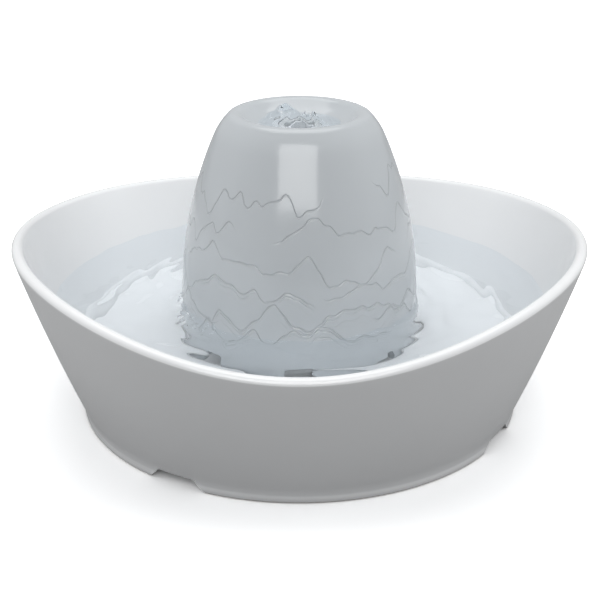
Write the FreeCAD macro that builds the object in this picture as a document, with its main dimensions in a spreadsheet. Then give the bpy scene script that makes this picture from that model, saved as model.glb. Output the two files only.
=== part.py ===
import FreeCAD, Part
import math
import os
import re
import Sketcher
from FreeCAD import Placement, Rotation, Vector

# A pet water fountain: a wide ceramic bowl, a ceramic dome that stands in it,
# and under the dome a filter box with a small submersible pump.
# Millimetres. The origin is the middle of the bowl's foot, on the surface it stands on.
# +Z is up, and -Y is the side that faces the camera.

os.makedirs("parts", exist_ok=True)
doc = FreeCAD.newDocument("pet_fountain")
sheet = doc.addObject("Spreadsheet::Sheet", "Sizes")

SIZES = [
    # Bowl
    ("foot_radius", 117.3, "outside of the bowl's foot ring"),
    ("foot_ring_width", 10, "foot ring, outside to inside"),
    ("foot_edge", 1.5, "rounding where the foot meets the table"),
    ("foot_height", 6, "where the straight foot turns into the flared wall"),
    ("hollow_height", 8.5, "underside of the floor above the table"),
    ("floor_thickness", 6, "bowl floor under the dome"),
    ("seat_depth", 1.5, "shallow seat in the floor for the dome"),
    ("seat_clearance", 0.8, "dome foot to the edge of its seat"),
    ("rim_radius", 149, "outside of the bowl at the top of the blank"),
    ("rim_blank_height", 98, "top of the blank before the wavy rim is cut"),
    ("wall_thickness", 6, "bowl wall"),
    ("wall_curve", 1000, "radius of the wall's outward bow"),
    ("corner_radius", 7, "inside, where the wall meets the floor"),
    ("corner_rise", 5, "height of that corner above the floor"),
    ("rim_middle", 88.6, "mean height of the rim"),
    ("rim_swell", 8.2, "rise at left and right, fall at front and back"),
    ("rim_ripple", 1.2, "second wave of the rim, four to a turn"),
    ("rim_dip", 2.9, "third wave, three to a turn, which leaves the front lower than the back"),
    ("lip_round", 2.6, "rounding of the lip's two edges"),
    ("notch_mouth", 33, "cord notch at the table"),
    ("notch_top", 19, "cord notch at its top"),
    ("notch_height", 6.5, "cord notch"),
    ("notch_turn", 59.6, "angle of the first notch from +X"),
    # Cord grommet in the floor
    ("grommet_reach", 47.5, "distance of the cord hole behind the middle"),
    ("grommet_hole", 5.6, "radius of the hole in the floor"),
    ("grommet_bore", 3.2, "radius of the cord's way through"),
    ("grommet_flange", 7.8, "radius of the grommet's flanges"),
    ("grommet_flange_thickness", 1.8, "each flange"),
    ("rubber_gap", 0.3, "rubber to what it seals, as drawn"),
    # Dome
    ("dome_base_radius", 62.4, "outside of the dome at its foot"),
    ("dome_belly_height", 50, "where the upright foot turns into the curved side"),
    ("dome_wall", 4.6, "dome wall"),
    ("dome_side_curve", 222, "radius of the side's outward bow"),
    ("shoulder_radius", 43.8, "outside of the dome where the shoulder starts"),
    ("shoulder_fall", 12.3, "start of the shoulder below the dome's top"),
    ("shoulder_curve", 35, "radius of the shoulder"),
    ("crest_radius", 37.3, "outer edge of the rounded crest"),
    ("crest_fall", 2.4, "outer edge of the crest below the dome's top"),
    ("crest_curve", 5.6, "radius of the crest"),
    ("dome_height", 157.6, "top of the crest"),
    ("dish_edge", 29, "inner edge of the crest, where the dish starts"),
    ("dish_edge_fall", 1.6, "that edge below the dome's top"),
    ("dish_drop", 8.6, "middle of the dish below the dome's top"),
    ("dish_curve", 27, "radius of the dish"),
    ("outlet_hole", 11, "radius of the hole in the dish"),
    ("outlet_wall", 4.6, "thickness of the dish at the hole"),
    ("outlet_land", 4, "flat underside round the hole"),
    ("crest_hollow", 2.8, "rise of the dome's inside under the crest"),
    ("inlet_width", 14, "water inlets in the dome's foot"),
    ("inlet_height", 8, "water inlets in the dome's foot"),
    ("inlet_count", 8, "water inlets in the dome's foot"),
    ("seal_flange", 2.6, "dome seal's flange beyond the hole"),
    ("seal_flange_thickness", 1.8, "dome seal's flange"),
    # Filter box
    ("box_width", 72, "along Y"),
    ("box_height", 56, "without the lid"),
    ("box_wall", 2, "walls and floor"),
    ("box_corner", 11, "outer corner radius"),
    ("box_slot_width", 3, "water slots in the end wall"),
    ("box_slot_height", 38, "water slots"),
    ("box_slot_pitch", 7, "water slots"),
    ("box_slot_count", 7, "water slots"),
    ("box_slot_sill", 8, "water slots, above the box's underside"),
    ("cord_slot_width", 9, "open slot for the cord in the back wall"),
    ("cord_slot_depth", 34, "open slot for the cord"),
    ("cord_slot_offset", 28, "cord slot and cord gland from the middle, along X"),
    ("rail_thickness", 1.6, "ribs that hold the filter cartridge"),
    ("rail_reach", 12, "ribs, out from the wall"),
    ("lid_thickness", 2.4, "lid plate"),
    ("lid_skirt", 3.5, "skirt inside the box"),
    ("lid_skirt_wall", 1.5, "skirt"),
    ("lid_gap", 0.4, "skirt to box wall"),
    ("collar_height", 7, "collar round the riser"),
    ("collar_wall", 1.8, "collar"),
    ("grip_width", 22, "finger ribs on the lid"),
    ("grip_thickness", 2, "finger ribs"),
    ("grip_height", 5, "finger ribs"),
    ("grip_offset", 26, "finger ribs from the middle, along Y"),
    # Pump
    ("pump_feet_height", 5, "suction feet"),
    ("pump_feet_radius", 5.5, "suction feet at the floor"),
    ("pump_feet_neck", 3, "suction feet at the pump"),
    ("pump_feet_spacing", 22, "suction feet along X and Y"),
    ("pump_room", 1.5, "back plate to the end wall of the box"),
    ("pump_length", 31, "motor housing along X, without the back plate"),
    ("pump_width", 38, "motor housing along Y"),
    ("pump_height", 40, "motor housing"),
    ("pump_corner", 5, "motor housing's long edges"),
    ("pump_wall", 2, "motor housing"),
    ("back_plate", 2, "thickness of the back plate"),
    ("axis_height", 22.5, "impeller axis above the pump's underside"),
    ("chamber_radius", 14, "pump chamber"),
    ("chamber_depth", 11, "pump chamber along X"),
    ("chamber_wall", 2, "pump chamber"),
    ("cover_flange", 2.5, "front cover's flange"),
    ("seal_section", 1.2, "chamber seal's width and thickness"),
    ("seal_offset", 1, "chamber seal outside the chamber"),
    ("eye_radius", 6.5, "water inlet in the front cover"),
    ("eye_spokes", 3, "spokes across that inlet"),
    ("spoke_width", 1.6, "spokes"),
    ("bush_hub_wall", 1.2, "hub that holds the front bush"),
    ("impeller_radius", 12.3, "over the blades"),
    ("blade_width", 6, "blades along the axis"),
    ("hub_radius", 4, "impeller hub"),
    ("sleeve_radius", 2.8, "impeller sleeve through the magnet"),
    ("blade_thickness", 1.4, "impeller blades"),
    ("blade_count", 6, "impeller blades"),
    ("blade_curve", 12, "radius of a blade's curve"),
    ("shroud_thickness", 1.4, "impeller's back disc"),
    ("magnet_radius", 6.4, "rotor magnet"),
    ("magnet_length", 20, "rotor magnet"),
    ("magnet_gap", 0.2, "rotor magnet to sleeve"),
    ("magnet_start", 2.5, "rotor magnet behind the housing's front"),
    ("well_gap", 0.5, "rotor magnet to its well"),
    ("well_wall", 1.2, "rotor well"),
    ("well_depth", 25, "rotor well"),
    ("shaft_radius", 1.2, "ceramic shaft"),
    ("shaft_gap", 0.08, "rotor bore to shaft"),
    ("bush_radius", 3, "rubber shaft bushes"),
    ("bush_length", 3.5, "rubber shaft bushes"),
    ("bush_floor", 0.9, "closed end of a bush"),
    ("bush_gap", 0.15, "bush to its seat"),
    ("spout_radius", 5.2, "outside of the pump's outlet spout"),
    ("spout_bore", 3.7, "bore of the outlet spout"),
    ("spout_rise", 9, "spout above the chamber"),
    ("riser_wall", 1.8, "riser tube"),
    ("riser_gap", 0.3, "riser to spout, collar and seal"),
    ("riser_overlap", 6, "riser pushed over the spout"),
    ("riser_top_drop", 1.5, "riser top below the dish's middle"),
    ("core_arm", 5, "stator arms along Y"),
    ("core_depth", 12, "stator along X"),
    ("core_start", 6.5, "stator behind the housing's front"),
    ("core_top", 9, "stator arms above the axis"),
    ("pole_inset", 0.6, "pole faces inside the well's width"),
    ("yoke_height", 5, "stator's lower limb"),
    ("yoke_base", 16.5, "stator's underside below the axis"),
    ("coil_thickness", 2, "winding on the bobbin"),
    ("bobbin_wall", 0.8, "coil bobbin"),
    ("part_gap", 0.3, "between loose parts"),
    ("intake_depth", 5, "intake cover along X"),
    ("intake_radius", 15.5, "intake cover"),
    ("intake_wall", 1.6, "intake cover"),
    ("intake_slot", 2, "slots in the intake cover"),
    ("intake_slot_length", 20, "slots in the intake cover"),
    ("intake_slot_pitch", 4.4, "slots in the intake cover"),
    ("intake_slot_count", 5, "slots in the intake cover"),
    ("slider_travel", 8, "flow slider"),
    ("slider_width", 9, "flow slider along Y"),
    ("slider_height", 10, "flow slider along Z"),
    ("slider_thickness", 1.4, "flow slider"),
    ("slider_gap", 0.2, "flow slider to its rails"),
    ("slider_rail", 1.2, "flow slider's rails"),
    ("slider_knob", 1.6, "flow slider's knob radius"),
    ("foam_gap", 2.2, "foam block to the flow slider's knob"),
    ("foam_height", 46, "foam block"),
    ("cartridge_thickness", 9, "filter cartridge along X"),
    ("cartridge_height", 49.5, "filter cartridge"),
    ("cartridge_border", 5, "filter cartridge's frame"),
    ("cartridge_bars", 5, "bars over the filter cartridge's window"),
    ("cartridge_bar", 2, "width and depth of a bar"),
    ("pouch_skin", 0.8, "filter pouch cloth"),
    ("gland_radius", 3.8, "pump cord gland"),
    ("gland_bore", 2.6, "pump cord gland"),
    ("gland_length", 6, "pump cord gland"),
    ("gland_drop", 8, "pump cord gland below the axis"),
]

for row, (alias, value, note) in enumerate(SIZES, start=1):
    sheet.set(f"A{row}", alias)
    sheet.set(f"B{row}", str(value))
    sheet.set(f"C{row}", note)
    sheet.setAlias(f"B{row}", alias)
doc.recompute()
ALIASES = {alias for alias, value, note in SIZES}


def bound(text):
    """An expression that names sizes, with the sheet's name put before each."""
    return re.sub(r"[a-z_]+", lambda word: f"Sizes.{word.group()}" if word.group() in ALIASES
                  else word.group(), str(text))


def number(text):
    """The value that an expression has now."""
    return float(sheet.evalExpression(bound(text)))


def bind(obj, prop, text):
    """Ties a property to the sheet."""
    obj.setExpression(prop, bound(text))


def new_body(label):
    body = doc.addObject("PartDesign::Body", label)
    body.Label = label
    return body


def plane_of(body, role):
    return next(f for f in body.Origin.OriginFeatures if f.Role == role)


def sketch_on(body, role, name, away="0"):
    """A sketch on one of the body's own planes, away along that plane's normal."""
    sketch = body.newObject("Sketcher::SketchObject", name)
    sketch.AttachmentSupport = [(plane_of(body, role), "")]
    sketch.MapMode = "FlatFace"
    bind(sketch, "AttachmentOffset.Base.z", away)
    doc.recompute()
    return sketch


def arc_between(start, end, radius):
    """An arc from start to end; it runs clockwise if the radius is negative."""
    half = start.distanceToPoint(end) / 2
    middle = (start + end) * 0.5
    along = (end - start).normalize()
    side = Vector(-along.y, along.x, 0) * math.copysign(1, radius)
    centre = middle + side * math.sqrt(max(radius * radius - half * half, 0))
    first, last = (start, end) if radius > 0 else (end, start)
    angles = [math.atan2(p.y - centre.y, p.x - centre.x) for p in (first, last)]
    return Part.ArcOfCircle(Part.Circle(centre, Vector(0, 0, 1), abs(radius)), *angles)


def outline(sketch, corners):
    """A closed outline, drawn anticlockwise. A corner is (across, up) or (across, up, radius).
    The radius bends the edge that leaves the corner, outwards if it is positive."""
    points = [Vector(number(c[0]), number(c[1]), 0) for c in corners]
    first = sketch.GeometryCount
    ends = []
    for index, corner in enumerate(corners):
        start, end = points[index], points[(index + 1) % len(points)]
        if len(corner) == 3:
            radius = number(corner[2])
            sketch.addGeometry(arc_between(start, end, radius), False)
            ends.append((1, 2) if radius > 0 else (2, 1))
        else:
            sketch.addGeometry(Part.LineSegment(start, end), False)
            ends.append((1, 2))
    for index, corner in enumerate(corners):
        here = first + index
        after = (index + 1) % len(corners)
        sketch.addConstraint(Sketcher.Constraint("Coincident", here, ends[index][1],
                                                 first + after, ends[after][0]))
        for kind, text in (("DistanceX", corner[0]), ("DistanceY", corner[1])):
            tie = Sketcher.Constraint(kind, -1, 1, here, ends[index][0], number(text))
            bind(sketch, f"Constraints[{sketch.addConstraint(tie)}]", text)
        if len(corner) == 3:
            size = f"abs({corner[2]})"
            tie = Sketcher.Constraint("Radius", here, number(size))
            bind(sketch, f"Constraints[{sketch.addConstraint(tie)}]", size)


def circle(sketch, across, up, radius):
    """A circle whose centre and radius are tied to the sheet."""
    centre = Vector(number(across), number(up), 0)
    here = sketch.addGeometry(Part.Circle(centre, Vector(0, 0, 1), number(radius)), False)
    for tie, text in (
        (Sketcher.Constraint("DistanceX", -1, 1, here, 3, centre.x), across),
        (Sketcher.Constraint("DistanceY", -1, 1, here, 3, centre.y), up),
        (Sketcher.Constraint("Radius", here, number(radius)), radius),
    ):
        bind(sketch, f"Constraints[{sketch.addConstraint(tie)}]", text)


def rectangle(sketch, across, up, width, height):
    """A rectangle about a centre."""
    left, right = f"({across}) - ({width}) / 2", f"({across}) + ({width}) / 2"
    low, high = f"({up}) - ({height}) / 2", f"({up}) + ({height}) / 2"
    outline(sketch, [(left, low), (right, low), (right, high), (left, high)])


def rounded_rectangle(sketch, across, up, width, height, radius):
    """A rectangle about a centre, with round corners."""
    left, right = f"({across}) - ({width}) / 2", f"({across}) + ({width}) / 2"
    low, high = f"({up}) - ({height}) / 2", f"({up}) + ({height}) / 2"
    outline(sketch, [
        (f"{left} + {radius}", low),
        (f"{right} - {radius}", low, radius),
        (right, f"{low} + {radius}"),
        (right, f"{high} - {radius}", radius),
        (f"{right} - {radius}", high),
        (f"{left} + {radius}", high, radius),
        (left, f"{high} - {radius}"),
        (left, f"{low} + {radius}", radius),
    ])


def turn(body, name, corners, axis="V_Axis"):
    """A solid of revolution from an outline in the body's XZ plane.
    It turns about the body's Z axis, or about X if axis is H_Axis."""
    sketch = sketch_on(body, "XZ_Plane", f"{name}_outline")
    outline(sketch, corners)
    feature = body.newObject("PartDesign::Revolution", name)
    feature.Profile = sketch
    feature.ReferenceAxis = (sketch, [axis])
    feature.Angle = 360
    doc.recompute()
    return feature


def pad(body, name, sketch, length, backwards=False):
    feature = body.newObject("PartDesign::Pad", name)
    feature.Profile = sketch
    feature.Reversed = backwards
    bind(feature, "Length", length)
    doc.recompute()
    return feature


def cut(body, name, sketch, depth, backwards=False):
    """A pocket. It raises an error if it took nothing away."""
    before = body.Shape.Volume
    feature = body.newObject("PartDesign::Pocket", name)
    feature.Profile = sketch
    feature.Reversed = backwards
    bind(feature, "Length", depth)
    doc.recompute()
    if feature.Shape.Volume > before - 0.01:
        raise RuntimeError(f"{name} cuts nothing")
    return feature


def repeat_round(body, name, feature, count, role="Z_Axis"):
    pattern = body.newObject("PartDesign::PolarPattern", name)
    pattern.Originals = [feature]
    pattern.Axis = (plane_of(body, role), [""])
    pattern.Angle = 360
    bind(pattern, "Occurrences", count)
    body.Tip = pattern
    doc.recompute()
    return pattern


def repeat_along(body, name, feature, role, length, count):
    pattern = body.newObject("PartDesign::LinearPattern", name)
    pattern.Originals = [feature]
    pattern.Direction = (plane_of(body, role), [""])
    bind(pattern, "Length", length)
    bind(pattern, "Occurrences", count)
    body.Tip = pattern
    doc.recompute()
    return pattern


def place(obj, x="0", y="0", z="0", rotation=None):
    """Puts a sub-part where the sheet says."""
    obj.Placement = Placement(Vector(0, 0, 0), rotation or Rotation())
    for axis, text in (("x", x), ("y", y), ("z", z)):
        bind(obj, f"Placement.Base.{axis}", text)


# Heights and depths that several parts share, as expressions of the sheet.
SEAT = "(hollow_height + floor_thickness)"
FLOOR = f"({SEAT} + seat_depth)"
BOX_FLOOR = f"({SEAT} + box_wall)"
BOX_TOP = f"({SEAT} + box_height)"
PUMP_UNDER = f"({BOX_FLOOR} + pump_feet_height)"
PUMP_AXIS = f"({PUMP_UNDER} + axis_height)"
PUMP_FRONT = "(chamber_depth / 2)"
PUMP_REAR = f"({PUMP_FRONT} + pump_length)"
COVER_FRONT = f"({PUMP_FRONT} - chamber_depth - chamber_wall)"
INTAKE_FRONT = f"({COVER_FRONT} - intake_depth)"
WELL_END = f"({PUMP_FRONT} + well_depth)"
WELL_OUTSIDE = "(magnet_radius + well_gap + well_wall)"
PUMP_MIDDLE = "(pump_height / 2 - axis_height)"
SPOUT_TOP = f"({PUMP_AXIS} + chamber_radius + chamber_wall + spout_rise)"
RISER_BORE = "(spout_radius + riser_gap)"
RISER_OUTSIDE = f"({RISER_BORE} + riser_wall)"
DISH_MIDDLE = "(dome_height - dish_drop)"
DISH_UNDER = f"({DISH_MIDDLE} - outlet_wall)"
BOX_LENGTH = f"(2 * ({PUMP_REAR} + back_plate + pump_room + box_wall))"
CARTRIDGE_FRONT = f"(box_wall + part_gap - {BOX_LENGTH} / 2)"
CARTRIDGE_WIDTH = "(box_width - 2 * box_corner)"
RAIL_FRONT = f"({CARTRIDGE_FRONT} + cartridge_thickness + part_gap)"
FOAM_FRONT = f"({RAIL_FRONT} + rail_thickness + part_gap)"
KNOB_FRONT = f"({INTAKE_FRONT} - slider_gap - slider_thickness - slider_rail)"
FOAM_THICKNESS = f"({KNOB_FRONT} - foam_gap - {FOAM_FRONT})"
SHOULDER = "(dome_height - shoulder_fall)"


def make_bowl():
    """The white bowl: a turned blank, four cord notches in its foot ring, and a rim cut to a wave."""
    body = new_body("bowl_blank")
    turn(body, "blank", [
        ("0", "hollow_height"),
        ("foot_radius - foot_ring_width - foot_edge", "hollow_height"),
        ("foot_radius - foot_ring_width", "foot_edge"),
        ("foot_radius - foot_ring_width + foot_edge", "0"),
        ("foot_radius - foot_edge", "0", "foot_edge"),
        ("foot_radius", "foot_edge"),
        ("foot_radius", "foot_height", "wall_curve"),
        ("rim_radius", "rim_blank_height"),
        ("rim_radius - wall_thickness", "rim_blank_height", "0 - wall_curve + wall_thickness"),
        ("foot_radius - foot_edge / 2", f"{FLOOR} + corner_rise", "0 - corner_radius"),
        ("foot_radius - foot_edge / 2 - corner_rise", FLOOR),
        ("dome_base_radius + seat_clearance", FLOOR),
        ("dome_base_radius + seat_clearance", SEAT),
        ("0", SEAT),
    ])
    sketch = sketch_on(body, "XZ_Plane", "notch_outline")
    sketch.AttachmentOffset = Placement(Vector(0, 0, 0), Rotation(Vector(0, 1, 0), 90))
    bind(sketch, "AttachmentOffset.Rotation.Angle", "90 + notch_turn")
    outline(sketch, [
        ("0 - notch_mouth / 2", "0 - foot_edge"),
        ("notch_mouth / 2", "0 - foot_edge"),
        ("notch_mouth / 2", "foot_edge / 2"),
        ("notch_top / 2 + foot_edge", "notch_height - foot_edge", "2 * foot_edge"),
        ("notch_top / 2 - foot_edge", "notch_height"),
        ("foot_edge - notch_top / 2", "notch_height", "2 * foot_edge"),
        ("0 - notch_top / 2 - foot_edge", "notch_height - foot_edge"),
        ("0 - notch_mouth / 2", "foot_edge / 2"),
    ])
    notch = cut(body, "notch", sketch, "foot_radius + foot_ring_width", backwards=True)
    repeat_round(body, "notches", notch, "4")
    hole = sketch_on(body, "XY_Plane", "cord_hole_outline", f"{SEAT} + seat_depth")
    circle(hole, "0", "grommet_reach", "grommet_hole")
    cut(body, "cord_hole", hole, "2 * floor_thickness")

    wave = doc.addObject("Part::Feature", "rim_wave")
    wave.Shape = rim_wave_shape()
    trimmed = doc.addObject("Part::Cut", "bowl_trimmed")
    trimmed.Base = body
    trimmed.Tool = wave
    doc.recompute()
    bowl = doc.addObject("Part::Fillet", "bowl")
    bowl.Base = trimmed
    radius = number("lip_round")
    edges = [n for n, edge in enumerate(trimmed.Shape.Edges, start=1) if is_lip_edge(edge)]
    bowl.Edges = [(n, radius, radius) for n in edges]
    bowl.Label = "bowl"
    doc.recompute()
    return bowl


def rim_height(angle):
    """The height of the wavy rim at an angle round the bowl."""
    swell = number("rim_swell") * math.cos(2 * angle)
    ripple = number("rim_ripple") * math.cos(4 * angle)
    dip = number("rim_dip") * math.sin(3 * angle)
    return number("rim_middle") + swell - ripple - dip


def rim_wave_shape():
    """What is cut off the blank: a ring whose underside follows the wavy rim."""
    wave_count = 32
    edges = []
    for radius in (number("rim_radius") * 0.8, number("rim_radius") * 1.1):
        turns = [2 * math.pi * n / wave_count for n in range(wave_count)]
        curve = Part.BSplineCurve()
        curve.interpolate(Points=[Vector(radius * math.cos(a), radius * math.sin(a), rim_height(a))
                                  for a in turns], PeriodicFlag=True)
        edges.append(curve.toShape())
    under = Part.makeRuledSurface(edges[0], edges[1])
    return under.extrude(Vector(0, 0, number("rim_blank_height")))


def is_lip_edge(edge):
    """True for the long edges that the wave left at the top of the wall."""
    box = edge.BoundBox
    lowest = number("rim_middle - rim_swell - rim_ripple - rim_dip") - 1
    return box.ZMin > lowest and box.ZLength > number("rim_swell") and edge.Length > box.DiagonalLength


def make_cord_grommet():
    """Rubber grommet that closes the cord's hole in the bowl floor."""
    body = new_body("cord_grommet")
    neck = "grommet_hole - rubber_gap"
    turn(body, "grommet", [
        ("grommet_bore", "hollow_height - grommet_flange_thickness"),
        ("grommet_flange", "hollow_height - grommet_flange_thickness"),
        ("grommet_flange", "hollow_height"),
        (neck, "hollow_height"),
        (neck, SEAT),
        ("grommet_flange", SEAT),
        ("grommet_flange", f"{SEAT} + grommet_flange_thickness"),
        ("grommet_bore", f"{SEAT} + grommet_flange_thickness"),
    ])
    place(body, y="grommet_reach")
    return body


def make_dome():
    """The grey dome: a shell open at the bottom, with a dished top and arched inlets in its foot."""
    body = new_body("dome")
    turn(body, "shell", [
        ("dome_base_radius - dome_wall", SEAT),
        ("dome_base_radius", SEAT),
        ("dome_base_radius", "dome_belly_height", "dome_side_curve"),
        ("shoulder_radius", SHOULDER, "shoulder_curve"),
        ("crest_radius", "dome_height - crest_fall", "crest_curve"),
        ("dish_edge", "dome_height - dish_edge_fall", "0 - dish_curve"),
        ("outlet_hole", DISH_MIDDLE),
        ("outlet_hole", DISH_UNDER),
        ("outlet_hole + outlet_land", DISH_UNDER),
        ("dish_edge - dome_wall", f"{DISH_UNDER} + crest_hollow", "dome_wall - shoulder_curve"),
        ("shoulder_radius - dome_wall", f"{SHOULDER} - dome_wall / 2", "dome_wall - dome_side_curve"),
        ("dome_base_radius - dome_wall", "dome_belly_height"),
    ])
    sketch = sketch_on(body, "XZ_Plane", "inlet_outline")
    outline(sketch, [
        ("0 - inlet_width / 2", f"{SEAT} - box_wall"),
        ("inlet_width / 2", f"{SEAT} - box_wall"),
        ("inlet_width / 2", f"{SEAT} + inlet_height / 2"),
        ("inlet_width / 4", f"{SEAT} + inlet_height"),
        ("0 - inlet_width / 4", f"{SEAT} + inlet_height"),
        ("0 - inlet_width / 2", f"{SEAT} + inlet_height / 2"),
    ])
    inlet = cut(body, "inlet", sketch, "dome_base_radius + dome_wall", backwards=True)
    repeat_round(body, "inlets", inlet, "inlet_count")
    return body


def make_dome_seal():
    """Silicone ring that closes the gap between the dome's outlet hole and the riser."""
    body = new_body("dome_seal")
    turn(body, "seal", [
        (f"{RISER_OUTSIDE} + riser_gap", f"{DISH_UNDER} - seal_flange_thickness"),
        ("outlet_hole + seal_flange", f"{DISH_UNDER} - seal_flange_thickness"),
        ("outlet_hole + seal_flange", DISH_UNDER),
        ("outlet_hole - rubber_gap", DISH_UNDER),
        ("outlet_hole - rubber_gap", f"{DISH_MIDDLE} - rubber_gap"),
        (f"{RISER_OUTSIDE} + riser_gap", f"{DISH_MIDDLE} - rubber_gap"),
    ])
    return body


def make_riser_tube():
    """The tube from the pump's spout to the dish, with a thinned top edge."""
    body = new_body("riser_tube")
    top = f"({DISH_MIDDLE} - riser_top_drop)"
    turn(body, "tube", [
        (RISER_BORE, f"{SPOUT_TOP} - riser_overlap"),
        (RISER_OUTSIDE, f"{SPOUT_TOP} - riser_overlap"),
        (RISER_OUTSIDE, f"{top} - riser_wall"),
        (f"{RISER_OUTSIDE} - riser_wall / 2", top),
        (RISER_BORE, top),
    ])
    return body


def make_pump_box():
    """The open filter box: slotted at the inlet end, with ribs for the cartridge and a cord slot."""
    body = new_body("pump_box")
    sketch = sketch_on(body, "XY_Plane", "box_outline", SEAT)
    rounded_rectangle(sketch, "0", "0", BOX_LENGTH, "box_width", "box_corner")
    pad(body, "box", sketch, "box_height")
    sketch = sketch_on(body, "XY_Plane", "hollow_outline", BOX_TOP)
    rounded_rectangle(sketch, "0", "0", f"{BOX_LENGTH} - 2 * box_wall", "box_width - 2 * box_wall",
                      "(box_corner - box_wall)")
    cut(body, "hollow", sketch, "box_height - box_wall")

    first = "(0 - box_slot_pitch * (box_slot_count - 1) / 2)"
    sketch = sketch_on(body, "YZ_Plane", "slot_outline", f"0 - {BOX_LENGTH} / 2")
    rectangle(sketch, first, f"{SEAT} + box_slot_sill + box_slot_height / 2",
              "box_slot_width", "box_slot_height")
    slot = cut(body, "slot", sketch, "2 * box_wall", backwards=True)
    repeat_along(body, "slots", slot, "Y_Axis", "box_slot_pitch * (box_slot_count - 1)",
                 "box_slot_count")

    sketch = sketch_on(body, "XZ_Plane", "cord_slot_outline", "0 - box_width / 2")
    rectangle(sketch, "cord_slot_offset", f"{BOX_TOP} - cord_slot_depth / 2 + box_wall / 2",
              "cord_slot_width", "cord_slot_depth + box_wall")
    cut(body, "cord_slot", sketch, "2 * box_wall", backwards=True)

    sketch = sketch_on(body, "XY_Plane", "rail_outline", BOX_FLOOR)
    for side in ("0 - 1", "1"):
        rectangle(sketch, f"{RAIL_FRONT} + rail_thickness / 2",
                  f"({side}) * (box_width / 2 - box_wall - rail_reach / 2 + box_wall / 4)",
                  "rail_thickness", "rail_reach + box_wall / 2")
    pad(body, "rails", sketch, "cartridge_height - lid_skirt")
    return body


def make_pump_box_lid():
    """The lid: a plate with a skirt inside the box, a collar for the riser and two finger ribs."""
    body = new_body("pump_box_lid")
    sketch = sketch_on(body, "XY_Plane", "plate_outline", BOX_TOP)
    rounded_rectangle(sketch, "0", "0", BOX_LENGTH, "box_width", "box_corner")
    pad(body, "plate", sketch, "lid_thickness")

    inset = "(box_wall + lid_gap)"
    inner = f"({inset} + lid_skirt_wall)"
    sketch = sketch_on(body, "XY_Plane", "skirt_outline", BOX_TOP)
    for edge in (inset, inner):
        rounded_rectangle(sketch, "0", "0", f"{BOX_LENGTH} - 2 * {edge}", f"box_width - 2 * {edge}",
                          f"(box_corner - {edge})")
    pad(body, "skirt", sketch, "lid_skirt", backwards=True)

    sketch = sketch_on(body, "XY_Plane", "collar_outline", BOX_TOP)
    circle(sketch, "0", "0", f"{RISER_OUTSIDE} + riser_gap + collar_wall")
    pad(body, "collar", sketch, "lid_thickness + collar_height")
    sketch = sketch_on(body, "XY_Plane", "grip_outline", BOX_TOP)
    for side in ("0 - 1", "1"):
        rectangle(sketch, "0", f"({side}) * grip_offset", "grip_width", "grip_thickness")
    pad(body, "grips", sketch, "lid_thickness + grip_height")
    sketch = sketch_on(body, "XY_Plane", "riser_hole_outline", f"{BOX_TOP} + lid_thickness + collar_height")
    circle(sketch, "0", "0", f"{RISER_OUTSIDE} + riser_gap")
    cut(body, "riser_hole", sketch, "2 * lid_thickness + collar_height")
    return body


def make_foam_filter():
    """The black foam block between the cartridge and the pump's intake."""
    body = new_body("foam_filter")
    sketch = sketch_on(body, "XY_Plane", "foam_outline", BOX_FLOOR)
    rounded_rectangle(sketch, f"{FOAM_FRONT} + {FOAM_THICKNESS} / 2", "0", FOAM_THICKNESS,
                      "box_width - 2 * box_wall - 2 * part_gap", "rail_thickness")
    pad(body, "foam", sketch, "foam_height")
    return body


def make_filter_frame():
    """The cartridge's plastic frame: a deep border, with bars over its window on one face."""
    body = new_body("filter_frame")
    width = CARTRIDGE_WIDTH
    window = f"({width} - 2 * cartridge_border)"
    middle = f"({BOX_FLOOR} + cartridge_height / 2)"
    sketch = sketch_on(body, "YZ_Plane", "frame_outline", CARTRIDGE_FRONT)
    rounded_rectangle(sketch, "0", middle, width, "cartridge_height", "cartridge_bar")
    pad(body, "frame", sketch, "cartridge_thickness")
    sketch = sketch_on(body, "YZ_Plane", "window_outline", f"{CARTRIDGE_FRONT} + cartridge_thickness")
    rounded_rectangle(sketch, "0", middle, window, "cartridge_height - 2 * cartridge_border", "cartridge_bar")
    cut(body, "pouch_space", sketch, "cartridge_thickness - cartridge_bar")
    pitch = f"({window} / (cartridge_bars + 1))"
    sketch = sketch_on(body, "YZ_Plane", "bay_outline", f"{CARTRIDGE_FRONT} + cartridge_thickness")
    rectangle(sketch, f"({pitch} - {window}) / 2 ", middle, f"{pitch} - cartridge_bar",
              "cartridge_height - 2 * cartridge_border - cartridge_bar")
    bay = cut(body, "bay", sketch, "cartridge_thickness")
    repeat_along(body, "bays", bay, "Y_Axis", f"{window} - {pitch}", "cartridge_bars + 1")
    return body


def make_filter_pouch():
    """The white cloth pouch in the cartridge, hollow for its charcoal."""
    body = new_body("filter_pouch")
    pouch_block(body, "pouch", "part_gap", backwards=False)
    pouch_block(body, "pouch_inside", "part_gap + pouch_skin", backwards=True)
    return body


def make_charcoal_fill():
    """The charcoal in the pouch, as one block."""
    body = new_body("charcoal_fill")
    pouch_block(body, "charcoal", "2 * part_gap + pouch_skin", backwards=False)
    return body


def pouch_block(body, name, inset, backwards):
    """A block inside the cartridge's window, or a hollow of that size."""
    width = f"({CARTRIDGE_WIDTH} - 2 * cartridge_border)"
    height = "(cartridge_height - 2 * cartridge_border)"
    front = f"({CARTRIDGE_FRONT} + cartridge_bar + {inset})"
    sketch = sketch_on(body, "YZ_Plane", f"{name}_outline", front)
    rounded_rectangle(sketch, "0", f"({BOX_FLOOR} + cartridge_height / 2)",
                      f"({width} - 2 * ({inset}))", f"({height} - 2 * ({inset}))", "cartridge_bar")
    depth = f"cartridge_thickness - cartridge_bar - 2 * ({inset})"
    if backwards:
        cut(body, name, sketch, depth, backwards=True)
    else:
        pad(body, name, sketch, depth)


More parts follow.
